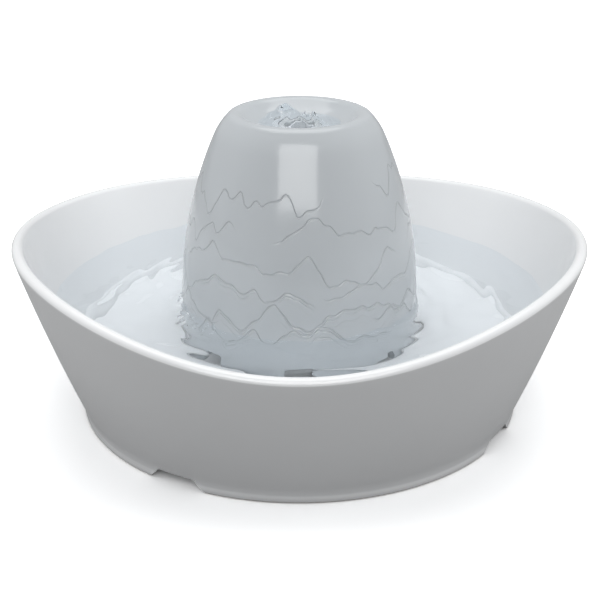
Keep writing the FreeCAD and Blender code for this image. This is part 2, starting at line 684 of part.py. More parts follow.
def make_pump_housing():
    """The motor housing: a rounded box open at the back, with the rotor's well moulded into its front."""
    body = new_body("pump_housing")
    sketch = sketch_on(body, "YZ_Plane", "housing_outline", PUMP_FRONT)
    rounded_rectangle(sketch, "0", PUMP_MIDDLE, "pump_width", "pump_height", "pump_corner")
    pad(body, "block", sketch, "pump_length")
    sketch = sketch_on(body, "YZ_Plane", "cavity_outline", PUMP_REAR)
    rounded_rectangle(sketch, "0", PUMP_MIDDLE, "pump_width - 2 * pump_wall", "pump_height - 2 * pump_wall",
                      "(pump_corner - pump_wall)")
    cut(body, "cavity", sketch, "pump_length - pump_wall")
    sketch = sketch_on(body, "YZ_Plane", "well_outline", PUMP_FRONT)
    circle(sketch, "0", "0", WELL_OUTSIDE)
    pad(body, "well", sketch, "well_depth + bush_length + well_wall")
    sketch = sketch_on(body, "YZ_Plane", "well_bore_outline", PUMP_FRONT)
    circle(sketch, "0", "0", "magnet_radius + well_gap")
    cut(body, "well_bore", sketch, "well_depth", backwards=True)
    sketch = sketch_on(body, "YZ_Plane", "bush_seat_outline", PUMP_FRONT)
    circle(sketch, "0", "0", "bush_radius + bush_gap")
    cut(body, "bush_seat", sketch, "well_depth + bush_length", backwards=True)
    sketch = sketch_on(body, "YZ_Plane", "seal_groove_outline", PUMP_FRONT)
    circle(sketch, "0", "0", "chamber_radius + seal_offset - bush_gap")
    circle(sketch, "0", "0", "chamber_radius + seal_offset + seal_section + bush_gap")
    cut(body, "seal_groove", sketch, "seal_section", backwards=True)
    place(body, z=PUMP_AXIS)
    return body


def make_pump_back_plate():
    """The plate that closes the motor housing."""
    body = new_body("pump_back_plate")
    sketch = sketch_on(body, "YZ_Plane", "plate_outline", PUMP_REAR)
    rounded_rectangle(sketch, "0", PUMP_MIDDLE, "pump_width", "pump_height", "pump_corner")
    pad(body, "plate", sketch, "back_plate")
    place(body, z=PUMP_AXIS)
    return body


def make_pump_front_cover():
    """The pump chamber: a drum on a flange, with a spoked inlet and the outlet spout on top."""
    body = new_body("pump_front_cover")
    sketch = sketch_on(body, "YZ_Plane", "flange_outline", PUMP_FRONT)
    rounded_rectangle(sketch, "0", PUMP_MIDDLE, "pump_width", "pump_height", "pump_corner")
    pad(body, "flange", sketch, "cover_flange", backwards=True)
    sketch = sketch_on(body, "YZ_Plane", "drum_outline", PUMP_FRONT)
    circle(sketch, "0", "0", "chamber_radius + chamber_wall")
    pad(body, "drum", sketch, "chamber_depth + chamber_wall", backwards=True)
    sketch = sketch_on(body, "XY_Plane", "spout_outline")
    circle(sketch, "0", "0", "spout_radius")
    pad(body, "spout", sketch, "chamber_radius + chamber_wall + spout_rise")
    sketch = sketch_on(body, "YZ_Plane", "chamber_outline", PUMP_FRONT)
    circle(sketch, "0", "0", "chamber_radius")
    cut(body, "chamber", sketch, "chamber_depth")
    sketch = sketch_on(body, "XY_Plane", "spout_bore_outline", "chamber_radius + chamber_wall + spout_rise")
    circle(sketch, "0", "0", "spout_bore")
    cut(body, "spout_bore", sketch, "2 * chamber_wall + spout_rise")
    sketch = sketch_on(body, "YZ_Plane", "eye_outline", COVER_FRONT)
    circle(sketch, "0", "0", "eye_radius")
    cut(body, "eye", sketch, "2 * chamber_wall", backwards=True)
    hub = "(bush_radius + bush_gap + bush_hub_wall)"
    sketch = sketch_on(body, "YZ_Plane", "spoke_outline", COVER_FRONT)
    rectangle(sketch, "0", f"({hub} + eye_radius) / 2", "spoke_width", "eye_radius")
    spoke = pad(body, "spoke", sketch, "chamber_wall")
    repeat_round(body, "spokes", spoke, "eye_spokes", role="X_Axis")
    sketch = sketch_on(body, "YZ_Plane", "bush_hub_outline", COVER_FRONT)
    circle(sketch, "0", "0", hub)
    pad(body, "bush_hub", sketch, "bush_length + bush_floor")
    sketch = sketch_on(body, "YZ_Plane", "bush_seat_outline", f"{COVER_FRONT} + bush_length + bush_floor")
    circle(sketch, "0", "0", "bush_radius + bush_gap")
    cut(body, "bush_seat", sketch, "bush_length")
    place(body, z=PUMP_AXIS)
    return body


def make_chamber_seal():
    """The rubber ring between the front cover and the motor housing."""
    body = new_body("chamber_seal")
    sketch = sketch_on(body, "YZ_Plane", "seal_outline", PUMP_FRONT)
    circle(sketch, "0", "0", "chamber_radius + seal_offset")
    circle(sketch, "0", "0", "chamber_radius + seal_offset + seal_section")
    pad(body, "seal", sketch, "seal_section")
    place(body, z=PUMP_AXIS)
    return body


def make_intake_cover():
    """The slotted cap over the pump's inlet, with two rails for the flow slider."""
    body = new_body("intake_cover")
    sketch = sketch_on(body, "YZ_Plane", "cap_outline", COVER_FRONT)
    circle(sketch, "0", "0", "intake_radius")
    pad(body, "cap", sketch, "intake_depth", backwards=True)
    sketch = sketch_on(body, "YZ_Plane", "cap_hollow_outline", COVER_FRONT)
    circle(sketch, "0", "0", "intake_radius - intake_wall")
    cut(body, "cap_hollow", sketch, "intake_depth - intake_wall")
    rail = "(slider_height / 2 + slider_gap + slider_rail / 2)"
    sketch = sketch_on(body, "YZ_Plane", "rail_outline", INTAKE_FRONT)
    for side in ("0 - 1", "1"):
        rectangle(sketch, "0", f"({side}) * {rail}", "2 * slider_width + slider_travel / 2", "slider_rail")
    pad(body, "rails", sketch, "slider_thickness", backwards=True)
    first = "(0 - intake_slot_pitch * (intake_slot_count - 1) / 2)"
    sketch = sketch_on(body, "YZ_Plane", "slot_outline", f"{INTAKE_FRONT} - slider_thickness")
    rectangle(sketch, first, "0", "intake_slot", "intake_slot_length")
    slot = cut(body, "slot", sketch, "slider_thickness + 2 * intake_wall", backwards=True)
    repeat_along(body, "slots", slot, "Y_Axis", "intake_slot_pitch * (intake_slot_count - 1)",
                 "intake_slot_count")
    place(body, z=PUMP_AXIS)
    return body


def make_flow_slider():
    """The slider that covers some of the intake's slots."""
    body = new_body("flow_slider")
    sketch = sketch_on(body, "YZ_Plane", "plate_outline", f"{INTAKE_FRONT} - slider_gap")
    rectangle(sketch, "0 - slider_travel / 2", "0", "slider_width", "slider_height")
    pad(body, "plate", sketch, "slider_thickness", backwards=True)
    sketch = sketch_on(body, "YZ_Plane", "knob_outline", f"{INTAKE_FRONT} - slider_gap")
    circle(sketch, "0 - slider_travel / 2", "0", "slider_knob")
    pad(body, "knob", sketch, "slider_thickness + slider_rail", backwards=True)
    place(body, z=PUMP_AXIS)
    return body


def make_impeller():
    """The impeller: six curved blades on a back disc, and a sleeve that carries the magnet."""
    body = new_body("impeller")
    magnet_front = f"({PUMP_FRONT} + magnet_start)"
    magnet_rear = f"({magnet_front} + magnet_length)"
    shroud = f"({PUMP_FRONT} - 2 * part_gap)"
    turn(body, "hub", [
        (f"{shroud} - shroud_thickness - blade_width", "shaft_radius + shaft_gap"),
        (magnet_rear, "shaft_radius + shaft_gap"),
        (magnet_rear, "sleeve_radius"),
        (magnet_front, "sleeve_radius"),
        (magnet_front, "hub_radius"),
        (shroud, "hub_radius"),
        (shroud, "impeller_radius"),
        (f"{shroud} - shroud_thickness", "impeller_radius"),
        (f"{shroud} - shroud_thickness", "hub_radius"),
        (f"{shroud} - shroud_thickness - blade_width", "hub_radius"),
    ], axis="H_Axis")
    sketch = sketch_on(body, "YZ_Plane", "blade_outline", f"{shroud} - shroud_thickness")
    inner = "(hub_radius - blade_thickness / 2)"
    tip = "(impeller_radius - blade_thickness)"
    outline(sketch, [
        (inner, "0 - blade_thickness / 2", "blade_curve"),
        (tip, "impeller_radius / 4 - blade_thickness / 2"),
        (tip, "impeller_radius / 4 + blade_thickness / 2", "0 - blade_curve + blade_thickness"),
        (inner, "blade_thickness / 2"),
    ])
    blade = pad(body, "blade", sketch, "blade_width", backwards=True)
    repeat_round(body, "blades", blade, "blade_count", role="X_Axis")
    place(body, z=PUMP_AXIS)
    return body


def make_rotor_magnet():
    """The ring magnet on the impeller's sleeve."""
    body = new_body("rotor_magnet")
    sketch = sketch_on(body, "YZ_Plane", "magnet_outline", f"{PUMP_FRONT} + magnet_start")
    circle(sketch, "0", "0", "magnet_radius")
    circle(sketch, "0", "0", "sleeve_radius + magnet_gap")
    pad(body, "magnet", sketch, "magnet_length")
    place(body, z=PUMP_AXIS)
    return body


def make_pump_shaft():
    """The fixed ceramic shaft on which the rotor runs."""
    body = new_body("pump_shaft")
    front = f"({COVER_FRONT} + 2 * bush_floor + bush_gap)"
    sketch = sketch_on(body, "YZ_Plane", "shaft_outline", front)
    circle(sketch, "0", "0", "shaft_radius")
    pad(body, "shaft", sketch, f"{WELL_END} + bush_length - bush_floor - bush_gap - {front}")
    place(body, z=PUMP_AXIS)
    return body


def make_bush(label, closed_end, open_end):
    """A rubber cup that holds one end of the shaft."""
    body = new_body(label)
    bottom = f"({closed_end} + ({open_end} - {closed_end}) * bush_floor / bush_length)"
    corners = [
        (closed_end, "0"),
        (bottom, "0"),
        (bottom, "shaft_radius + shaft_gap"),
        (open_end, "shaft_radius + shaft_gap"),
        (open_end, "bush_radius"),
        (closed_end, "bush_radius"),
    ]
    turn(body, "cup", corners, axis="H_Axis")
    place(body, z=PUMP_AXIS)
    return body


def make_stator_core():
    """The laminated core: two arms that hug the rotor's well, and a yoke under it."""
    body = new_body("stator_core")
    arm = f"({WELL_OUTSIDE} - pole_inset)"
    sketch = sketch_on(body, "YZ_Plane", "core_outline", f"{PUMP_FRONT} + core_start")
    outline(sketch, [
        (f"0 - {arm} - core_arm", "0 - yoke_base"),
        (f"{arm} + core_arm", "0 - yoke_base"),
        (f"{arm} + core_arm", "core_top"),
        (arm, "core_top"),
        (arm, "yoke_height - yoke_base"),
        (f"0 - {arm}", "yoke_height - yoke_base"),
        (f"0 - {arm}", "core_top"),
        (f"0 - {arm} - core_arm", "core_top"),
    ])
    pad(body, "core", sketch, "core_depth")
    sketch = sketch_on(body, "YZ_Plane", "pole_outline", f"{PUMP_FRONT} + core_start")
    circle(sketch, "0", "0", f"{WELL_OUTSIDE} + part_gap")
    cut(body, "poles", sketch, "core_depth", backwards=True)
    place(body, z=PUMP_AXIS)
    return body


def coil_block(body, name, grow, half_length):
    """A block round the yoke, grown from it on all sides, centred between the arms."""
    sketch = sketch_on(body, "XZ_Plane", f"{name}_outline", f"0 - ({half_length})")
    rectangle(sketch, f"{PUMP_FRONT} + core_start + core_depth / 2", "yoke_height / 2 - yoke_base",
              f"core_depth + 2 * ({grow})", f"yoke_height + 2 * ({grow})")
    return sketch


def make_coil_bobbin():
    """The plastic bobbin on the yoke, with a flange at each end."""
    body = new_body("coil_bobbin")
    half = f"({WELL_OUTSIDE} - pole_inset - part_gap)"
    flange = "(part_gap + bobbin_wall + coil_thickness)"
    tube = "(part_gap + bobbin_wall)"
    sketch = coil_block(body, "tube", tube, half)
    pad(body, "tube", sketch, f"2 * {half}")
    for name, start in (("back", half), ("front", f"bobbin_wall - {half}")):
        sketch = coil_block(body, f"{name}_flange", flange, start)
        pad(body, f"{name}_flange", sketch, "bobbin_wall")
    sketch = coil_block(body, "yoke_space", "part_gap", half)
    cut(body, "yoke_space", sketch, f"2 * {half}", backwards=True)
    place(body, z=PUMP_AXIS)
    return body


def make_coil_windings():
    """The copper winding between the bobbin's flanges."""
    body = new_body("coil_windings")
    half = f"({WELL_OUTSIDE} - pole_inset - part_gap - bobbin_wall - shaft_gap)"
    sketch = coil_block(body, "winding", "part_gap + bobbin_wall + coil_thickness", half)
    pad(body, "winding", sketch, f"2 * {half}")
    sketch = coil_block(body, "bobbin_space", "part_gap + bobbin_wall + shaft_gap", half)
    cut(body, "bobbin_space", sketch, f"2 * {half}", backwards=True)
    place(body, z=PUMP_AXIS)
    return body


def make_suction_feet():
    """Four rubber feet between the pump and the box's floor, hollow underneath."""
    feet = []
    for x_side in (-1, 1):
        for y_side in (-1, 1):
            cup = doc.addObject("Part::Cone", "foot_cup")
            hollow = doc.addObject("Part::Cone", "foot_hollow")
            bind(cup, "Radius1", "pump_feet_radius")
            bind(cup, "Radius2", "pump_feet_neck")
            bind(cup, "Height", "pump_feet_height")
            bind(hollow, "Radius1", "pump_feet_radius - box_wall / 2")
            bind(hollow, "Radius2", "pump_feet_neck / 2")
            bind(hollow, "Height", "pump_feet_height / 2")
            foot = doc.addObject("Part::Cut", "foot")
            foot.Base = cup
            foot.Tool = hollow
            for piece in (cup, hollow):
                place(piece, x=f"{PUMP_FRONT} + pump_length / 2 + {x_side / 2} * pump_feet_spacing",
                      y=f"{y_side / 2} * pump_feet_spacing", z=BOX_FLOOR)
            feet.append(foot)
    group = doc.addObject("Part::Compound", "suction_feet")
    group.Links = feet
    group.Label = "suction_feet"
    return group


def make_pump_cord_gland():
    """The rubber gland on the motor housing's side, where the cord enters."""
    body = new_body("pump_cord_gland")
    turn(body, "gland", [
        ("gland_bore", "0"),
        ("gland_radius", "0"),
        ("gland_radius", "gland_length / 2"),
        ("(gland_radius + gland_bore) / 2", "gland_length"),
        ("gland_bore", "gland_length"),
    ])
    place(body, x="cord_slot_offset", y="pump_width / 2", z=f"{PUMP_AXIS} - gland_drop",
          rotation=Rotation(Vector(1, 0, 0), -90))
    return body


parts = [
    make_bowl(),
    make_cord_grommet(),
    make_dome(),
    make_dome_seal(),
    make_riser_tube(),
    make_pump_box(),
    make_pump_box_lid(),
    make_foam_filter(),
    make_filter_frame(),
    make_filter_pouch(),
    make_charcoal_fill(),
    make_pump_housing(),
    make_pump_back_plate(),
    make_pump_front_cover(),
    make_chamber_seal(),
    make_intake_cover(),
    make_flow_slider(),
    make_impeller(),
    make_rotor_magnet(),
    make_pump_shaft(),
    make_bush("shaft_bush_front", f"({COVER_FRONT} + bush_floor)",
              f"({COVER_FRONT} + bush_floor + bush_length)"),
    make_bush("shaft_bush_rear", f"({WELL_END} + bush_length)", WELL_END),
    make_stator_core(),
    make_coil_bobbin(),
    make_coil_windings(),
    make_suction_feet(),
    make_pump_cord_gland(),
]

doc.recompute()
for obj in doc.Objects:
    if "Invalid" in obj.State or "Error" in obj.State:
        raise RuntimeError(f"{obj.Label} failed: {obj.State}")
for part in parts:
    if part.Shape.isNull() or not part.Shape.isValid():
        raise RuntimeError(f"{part.Label} has no valid shape")
for part in parts:
    part.Shape.exportStep(f"parts/{part.Label}.step")
    print(f"{part.Label}: {len(part.Shape.Solids)} solids, {part.Shape.Volume / 1000:.2f} cm3")
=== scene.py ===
import math

import bmesh
import bpy
from mathutils import Matrix, Vector, noise


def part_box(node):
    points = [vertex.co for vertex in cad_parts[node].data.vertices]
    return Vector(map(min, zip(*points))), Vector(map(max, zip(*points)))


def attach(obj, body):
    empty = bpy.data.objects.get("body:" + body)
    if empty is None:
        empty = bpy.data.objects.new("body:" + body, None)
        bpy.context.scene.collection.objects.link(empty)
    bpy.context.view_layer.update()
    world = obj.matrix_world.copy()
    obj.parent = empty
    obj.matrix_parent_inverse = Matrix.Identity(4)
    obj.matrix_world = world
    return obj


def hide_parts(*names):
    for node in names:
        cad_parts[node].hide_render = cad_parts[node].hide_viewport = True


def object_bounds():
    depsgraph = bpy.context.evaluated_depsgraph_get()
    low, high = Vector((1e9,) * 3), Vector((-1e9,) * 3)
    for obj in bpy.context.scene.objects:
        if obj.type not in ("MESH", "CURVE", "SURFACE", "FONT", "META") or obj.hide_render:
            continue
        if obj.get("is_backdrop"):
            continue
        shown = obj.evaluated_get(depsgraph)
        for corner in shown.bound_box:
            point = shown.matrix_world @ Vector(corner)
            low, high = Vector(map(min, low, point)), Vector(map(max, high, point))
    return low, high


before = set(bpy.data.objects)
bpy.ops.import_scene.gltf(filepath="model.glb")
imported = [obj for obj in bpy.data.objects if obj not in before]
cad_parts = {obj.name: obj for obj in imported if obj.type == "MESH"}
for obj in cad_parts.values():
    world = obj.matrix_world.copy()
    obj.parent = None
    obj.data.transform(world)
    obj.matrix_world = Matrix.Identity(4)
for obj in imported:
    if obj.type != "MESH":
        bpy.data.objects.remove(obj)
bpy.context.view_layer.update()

# The room: a wide pale floor, an even white surround and five soft lamps. One in front shows only
# in gloss, as the soft streak on the dome, and two at the sides lighten the bowl's edges. The
# camera looks down at 23 degrees, as in the photograph.

scene = bpy.context.scene
scene.view_settings.view_transform = "Standard"

SURROUND_LIGHT = 0.52
FLOOR_SIZE = 9.0
FLOOR_BOUNCE = 0.42
FLOOR_SEEN = 1.42

world = bpy.data.worlds.new("surround")
scene.world = world
world.use_nodes = True
world.node_tree.nodes["Background"].inputs["Color"].default_value = (0.97, 0.985, 1.0, 1)
world.node_tree.nodes["Background"].inputs["Strength"].default_value = SURROUND_LIGHT


def mesh_object(name, vertices, faces, smooth=True):
    """A mesh of its own in the scene."""
    mesh = bpy.data.meshes.new(name)
    mesh.from_pydata(vertices, [], faces)
    mesh.update()
    for polygon in mesh.polygons:
        polygon.use_smooth = smooth
    made = bpy.data.objects.new(name, mesh)
    scene.collection.objects.link(made)
    return made


def new_material(name):
    """An empty node material, its nodes, its links and its output."""
    material = bpy.data.materials.new(name)
    material.use_nodes = True
    nodes = material.node_tree.nodes
    nodes.clear()
    output = nodes.new("ShaderNodeOutputMaterial")
    return material, nodes, material.node_tree.links, output


half = FLOOR_SIZE / 2
floor = mesh_object("floor", [(-half, -half, 0), (half, -half, 0), (half, half, 0), (-half, half, 0)],
                    [(0, 1, 2, 3)])
floor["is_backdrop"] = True
floor_paint, nodes, links, output = new_material("floor_paint")
bounce = nodes.new("ShaderNodeBsdfDiffuse")
bounce.inputs["Color"].default_value = (FLOOR_BOUNCE, FLOOR_BOUNCE, FLOOR_BOUNCE, 1)
seen = nodes.new("ShaderNodeBsdfDiffuse")
seen.inputs["Color"].default_value = (FLOOR_SEEN, FLOOR_SEEN, FLOOR_SEEN, 1)
path = nodes.new("ShaderNodeLightPath")
by_path = nodes.new("ShaderNodeMixShader")
links.new(path.outputs["Is Camera Ray"], by_path.inputs["Fac"])
links.new(bounce.outputs["BSDF"], by_path.inputs[1])
links.new(seen.outputs["BSDF"], by_path.inputs[2])
links.new(by_path.outputs["Shader"], output.inputs["Surface"])
floor.data.materials.append(floor_paint)


def soft_lamp(name, place, aim, width, height, watts, shows_in_gloss=True, lights_matt=True):
    """A rectangular lamp at place that faces aim, for gloss, for matt surfaces or for both."""
    lamp = bpy.data.lights.new(name, "AREA")
    lamp.shape = "RECTANGLE"
    lamp.size = width
    lamp.size_y = height
    lamp.energy = watts
    made = bpy.data.objects.new(name, lamp)
    made.location = place
    made.rotation_euler = (Vector(aim) - Vector(place)).to_track_quat("-Z", "Y").to_euler()
    made.visible_glossy = shows_in_gloss
    made.visible_diffuse = lights_matt
    scene.collection.objects.link(made)


soft_lamp("overhead", (0.0, 0.35, 1.7), (0, 0, 0.05), 1.5, 1.3, 13)
soft_lamp("front_fill", (-0.06, -1.75, 1.35), (0, 0, 0.1), 1.15, 0.95, 8, shows_in_gloss=False)
soft_lamp("streak", (-0.055, -1.6, 1.24), (0, 0, 0.1), 1.6, 1.45, 30, lights_matt=False)
soft_lamp("left_fill", (-1.5, 0.1, 0.55), (0, 0, 0.08), 0.9, 0.9, 5, shows_in_gloss=False)
soft_lamp("right_fill", (1.5, 0.1, 0.55), (0, 0, 0.08), 0.9, 0.9, 6, shows_in_gloss=False)

FOCAL_PIXELS = 1241.3
FRAME_PIXELS = 600
SENSOR = 36.0
CAMERA_DISTANCE = 0.667
CAMERA_TILT = 0.400
AIM = Vector((0.0003, 0.0, 0.0541))

lens = bpy.data.cameras.new("camera")
lens.sensor_width = SENSOR
lens.lens = FOCAL_PIXELS / FRAME_PIXELS * SENSOR
camera = bpy.data.objects.new("camera", lens)
camera.location = AIM + CAMERA_DISTANCE * Vector((0, -math.cos(CAMERA_TILT), math.sin(CAMERA_TILT)))
camera.rotation_euler = (math.pi / 2 - CAMERA_TILT, 0, 0)
scene.collection.objects.link(camera)
scene.camera = camera

# The bowl: one slip-cast ceramic piece under a thick white glaze, satin outside and glossy
# inside. The outside's colour is painted shade: the same white glaze painted a darker grey where
# the surface faces down. Its rim rises at left and right and dips at front and back, and its foot
# ring has four notches for the mains lead.

MM = 0.001


def arc_between(start, end, radius, steps):
    """Points after start up to end on an arc that bends away from the axis for a positive radius."""
    across = Vector(end) - Vector(start)
    half_chord = across.length / 2
    side = Vector((across.y, -across.x)).normalized()
    sagitta_side = math.copysign(math.sqrt(radius ** 2 - half_chord ** 2), radius)
    centre = (Vector(start) + Vector(end)) / 2 - side * sagitta_side
    first = math.atan2(start[1] - centre.y, start[0] - centre.x)
    last = math.atan2(end[1] - centre.y, end[0] - centre.x)
    turn = (last - first + math.pi) % (2 * math.pi) - math.pi
    return [(centre.x + abs(radius) * math.cos(first + turn * k / steps),
             centre.y + abs(radius) * math.sin(first + turn * k / steps)) for k in range(1, steps + 1)]


def turned(name, section_at, columns):
    """A closed mesh round the Z axis from a section (radius, height) given for each angle."""
    sections = [section_at(2 * math.pi * c / columns) for c in range(columns)]
    rows = len(sections[0])
    vertices = []
    for c, section in enumerate(sections):
        angle = 2 * math.pi * c / columns
        vertices += [(r * MM * math.cos(angle), r * MM * math.sin(angle), z * MM) for r, z in section]
    faces = []
    for c in range(columns):
        after = (c + 1) % columns
        faces += [(c * rows + k, after * rows + k, after * rows + (k + 1) % rows, c * rows + (k + 1) % rows)
                  for k in range(rows)]
    return mesh_object(name, vertices, faces)


RIM_MIDDLE = 88.6
RIM_SWELL = 8.2
RIM_RIPPLE = 1.2
RIM_DIP = 2.9
LIP_ROUND = 2.6
WALL = 6.0
OUTER_FOOT = (117.3, 6.0)
OUTER_TOP = (149.0, 98.0)
WALL_BOW = 1000.0
INNER_FOOT = (116.55, 21.0)
FLOOR_EDGE = (111.55, 16.0)
CORNER_ROUND = 7.0
SEAT_EDGE = 63.2
SEAT_HEIGHT = 14.5
FOOT_OUTSIDE = 115.8
FOOT_INSIDE = 108.8
FOOT_EDGE = 1.5
UNDERSIDE = 8.5
AXIS_HOLE = 0.5
WALL_STEPS = 24
LIP_STEPS = 6


def wall_radius(low, high, bow, height):
    """Radius of a bowed wall between two section points at a height."""
    across = Vector(high) - Vector(low)
    side = Vector((across.y, -across.x)).normalized()
    centre = (Vector(low) + Vector(high)) / 2 - side * math.sqrt(bow ** 2 - (across.length / 2) ** 2)
    return centre.x + math.sqrt(bow ** 2 - (height - centre.y) ** 2)


def rim_height(angle):
    swell = RIM_SWELL * math.cos(2 * angle)
    ripple = RIM_RIPPLE * math.cos(4 * angle)
    return RIM_MIDDLE + swell - ripple - RIM_DIP * math.sin(3 * angle)


def outer_radius(height):
    return wall_radius(OUTER_FOOT, OUTER_TOP, WALL_BOW, height)


def inner_radius(height):
    return wall_radius(INNER_FOOT, (OUTER_TOP[0] - WALL, OUTER_TOP[1]), WALL_BOW - WALL, height)


def bowl_section(angle):
    """The bowl's outline at one angle, from the middle of its underside round to the seat."""
    top = rim_height(angle)
    lean = math.atan2(outer_radius(top) - outer_radius(top - WALL), WALL)
    under_lip = top - LIP_ROUND
    section = [(AXIS_HOLE, UNDERSIDE), (40, UNDERSIDE), (80, UNDERSIDE), (105.0, UNDERSIDE)]
    section += arc_between((105.8, UNDERSIDE), (107.3, 7.0), -FOOT_EDGE, 4)
    section += [(107.3, 1.5)] + arc_between((107.3, 1.5), (FOOT_INSIDE, 0), FOOT_EDGE, 4)
    section += [(FOOT_OUTSIDE, 0)] + arc_between((FOOT_OUTSIDE, 0), (117.3, 1.5), FOOT_EDGE, 4)
    section += [(117.3, 3.5), OUTER_FOOT]
    outside_top = under_lip - LIP_ROUND * math.sin(lean)
    for k in range(1, WALL_STEPS + 1):
        height = OUTER_FOOT[1] + (outside_top - OUTER_FOOT[1]) * k / WALL_STEPS
        section.append((outer_radius(height), height))
    outside = outer_radius(outside_top) - LIP_ROUND * math.cos(lean)
    for k in range(1, LIP_STEPS + 1):
        turn = -lean + (math.pi / 2 + lean) * k / LIP_STEPS
        section.append((outside + LIP_ROUND * math.cos(turn), under_lip + LIP_ROUND * math.sin(turn)))
    inside_top = under_lip + LIP_ROUND * math.sin(lean)
    inside = inner_radius(inside_top) + LIP_ROUND * math.cos(lean)
    for k in range(LIP_STEPS + 1):
        turn = math.pi / 2 + (math.pi / 2 - lean) * k / LIP_STEPS
        section.append((inside + LIP_ROUND * math.cos(turn), under_lip + LIP_ROUND * math.sin(turn)))
    for k in range(1, WALL_STEPS + 1):
        height = inside_top + (INNER_FOOT[1] - inside_top) * k / WALL_STEPS
        section.append((inner_radius(height), height))
    section += arc_between(INNER_FOOT, FLOOR_EDGE, CORNER_ROUND, 8)
    section += [(90, 16), (76, 16), (SEAT_EDGE + 0.6, 16), (SEAT_EDGE, 15.4), (SEAT_EDGE, SEAT_HEIGHT)]
    section += [(30, SEAT_HEIGHT), (AXIS_HOLE, SEAT_HEIGHT)]
    return section


bowl = turned("bowl_glazed", bowl_section, 384)

NOTCHES = 4
NOTCH_TURN = math.radians(59.6)
NOTCH_MOUTH = 33.0
NOTCH_TOP = 19.0
NOTCH_HEIGHT = 6.5
HOLE_REACH = 47.5
HOLE_RADIUS = 5.6
HOLE_SIDES = 48


def cutter(name, outline, place, turn, reach):
    """A prism along its own X from an outline (across, up), which cuts a piece and isn't shown."""
    count = len(outline)
    vertices = [(x * MM, a * MM, b * MM) for x in reach for a, b in outline]
    ends = [tuple(reversed(range(count))), tuple(range(count, 2 * count))]
    sides = [(k, (k + 1) % count, count + (k + 1) % count, count + k) for k in range(count)]
    made = mesh_object(name, vertices, ends + sides, smooth=False)
    made.data.transform(Matrix.Translation(Vector(place) * MM) @ turn)
    made.data.update()
    return made


def cut_away(piece, cutters):
    """Cuts the piece with every cutter and takes the cutters out of the scene."""
    for tool in cutters:
        cut = piece.modifiers.new(tool.name, "BOOLEAN")
        cut.operation = "DIFFERENCE"
        cut.solver = "EXACT"
        cut.object = tool
    bpy.context.view_layer.update()
    cut_mesh = bpy.data.meshes.new_from_object(piece.evaluated_get(bpy.context.evaluated_depsgraph_get()))
    piece.modifiers.clear()
    piece.data = cut_mesh
    for tool in cutters:
        bpy.data.objects.remove(tool)


def sharpen(made, degrees):
    """Marks the edges that turn by more than this many degrees, so that they stay crisp."""
    shape = bmesh.new()
    shape.from_mesh(made.data)
    for edge in shape.edges:
        edge.smooth = len(edge.link_faces) != 2 or edge.calc_face_angle() < math.radians(degrees)
    shape.to_mesh(made.data)
    shape.free()


mouth = NOTCH_MOUTH / 2
crown = NOTCH_TOP / 2
right_half = [(mouth, 0), (crown + 2.2, NOTCH_HEIGHT - 2.0), (crown + 1.2, NOTCH_HEIGHT - 0.7),
              (crown - 0.8, NOTCH_HEIGHT)]
left_half = [(-across, up) for across, up in reversed(right_half)]
notch_outline = [(-mouth - 2, -2), (mouth + 2, -2)] + right_half + left_half
cutters = []
for k in range(NOTCHES):
    turn = Matrix.Rotation(NOTCH_TURN + 2 * math.pi * k / NOTCHES, 4, "Z")
    cutters.append(cutter(f"notch_cutter_{k}", notch_outline, (0, 0, 0), turn, (96, 130)))
ring = []
for k in range(HOLE_SIDES):
    angle = 2 * math.pi * k / HOLE_SIDES
    ring.append((HOLE_RADIUS * math.cos(angle), HOLE_RADIUS * math.sin(angle)))
upright = Matrix.Rotation(-math.pi / 2, 4, "Y")
cutters.append(cutter("hole_cutter", ring, (0, HOLE_REACH, 0), upright, (4, 20)))
cut_away(bowl, cutters)
sharpen(bowl, 38)
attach(bowl, "base")
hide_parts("bowl")


def group_node(nodes, tree):
    made = nodes.new("ShaderNodeGroup")
    made.node_tree = tree
    return made


def map_range(nodes, links, value, low, high, to_low=0.0, to_high=1.0, smooth=False):
    """A Map Range node for a value between low and high. Gives its result."""
    made = nodes.new("ShaderNodeMapRange")
    if smooth:
        made.interpolation_type = "SMOOTHSTEP"
    made.inputs["From Min"].default_value = low
    made.inputs["From Max"].default_value = high
    made.inputs["To Min"].default_value = to_low
    made.inputs["To Max"].default_value = to_high
    links.new(value, made.inputs["Value"])
    return made.outputs["Result"]


def math_node(nodes, links, operation, first, second=None, third=None):
    """A Math node, whose inputs are sockets or numbers. Gives its output socket."""
    made = nodes.new("ShaderNodeMath")
    made.operation = operation
    for slot, value in enumerate((first, second, third)):
        if value is None:
            continue
        if isinstance(value, (int, float)):
            made.inputs[slot].default_value = value
        else:
            links.new(value, made.inputs[slot])
    return made.outputs["Value"]


def noise_node(nodes, links, vector, scale, detail=2.0):
    """A Noise texture at a scale. Gives its factor."""
    made = nodes.new("ShaderNodeTexNoise")
    made.inputs["Scale"].default_value = scale
    made.inputs["Detail"].default_value = detail
    links.new(vector, made.inputs["Vector"])
    return made.outputs["Fac"]


def bump_node(nodes, links, height, depth, strength=1.0, under=None):
    """A Bump node of a depth in metres, over another normal where one is given."""
    made = nodes.new("ShaderNodeBump")
    made.inputs["Strength"].default_value = strength
    made.inputs["Distance"].default_value = depth
    links.new(height, made.inputs["Height"])
    if under is not None:
        links.new(under, made.inputs["Normal"])
    return made.outputs["Normal"]


# The glaze's skin, for bowl and dome: a faint cloudiness of the colour, a slow unevenness of
# the surface and fine orange peel. The group puts out a colour factor, a roughness and a normal.

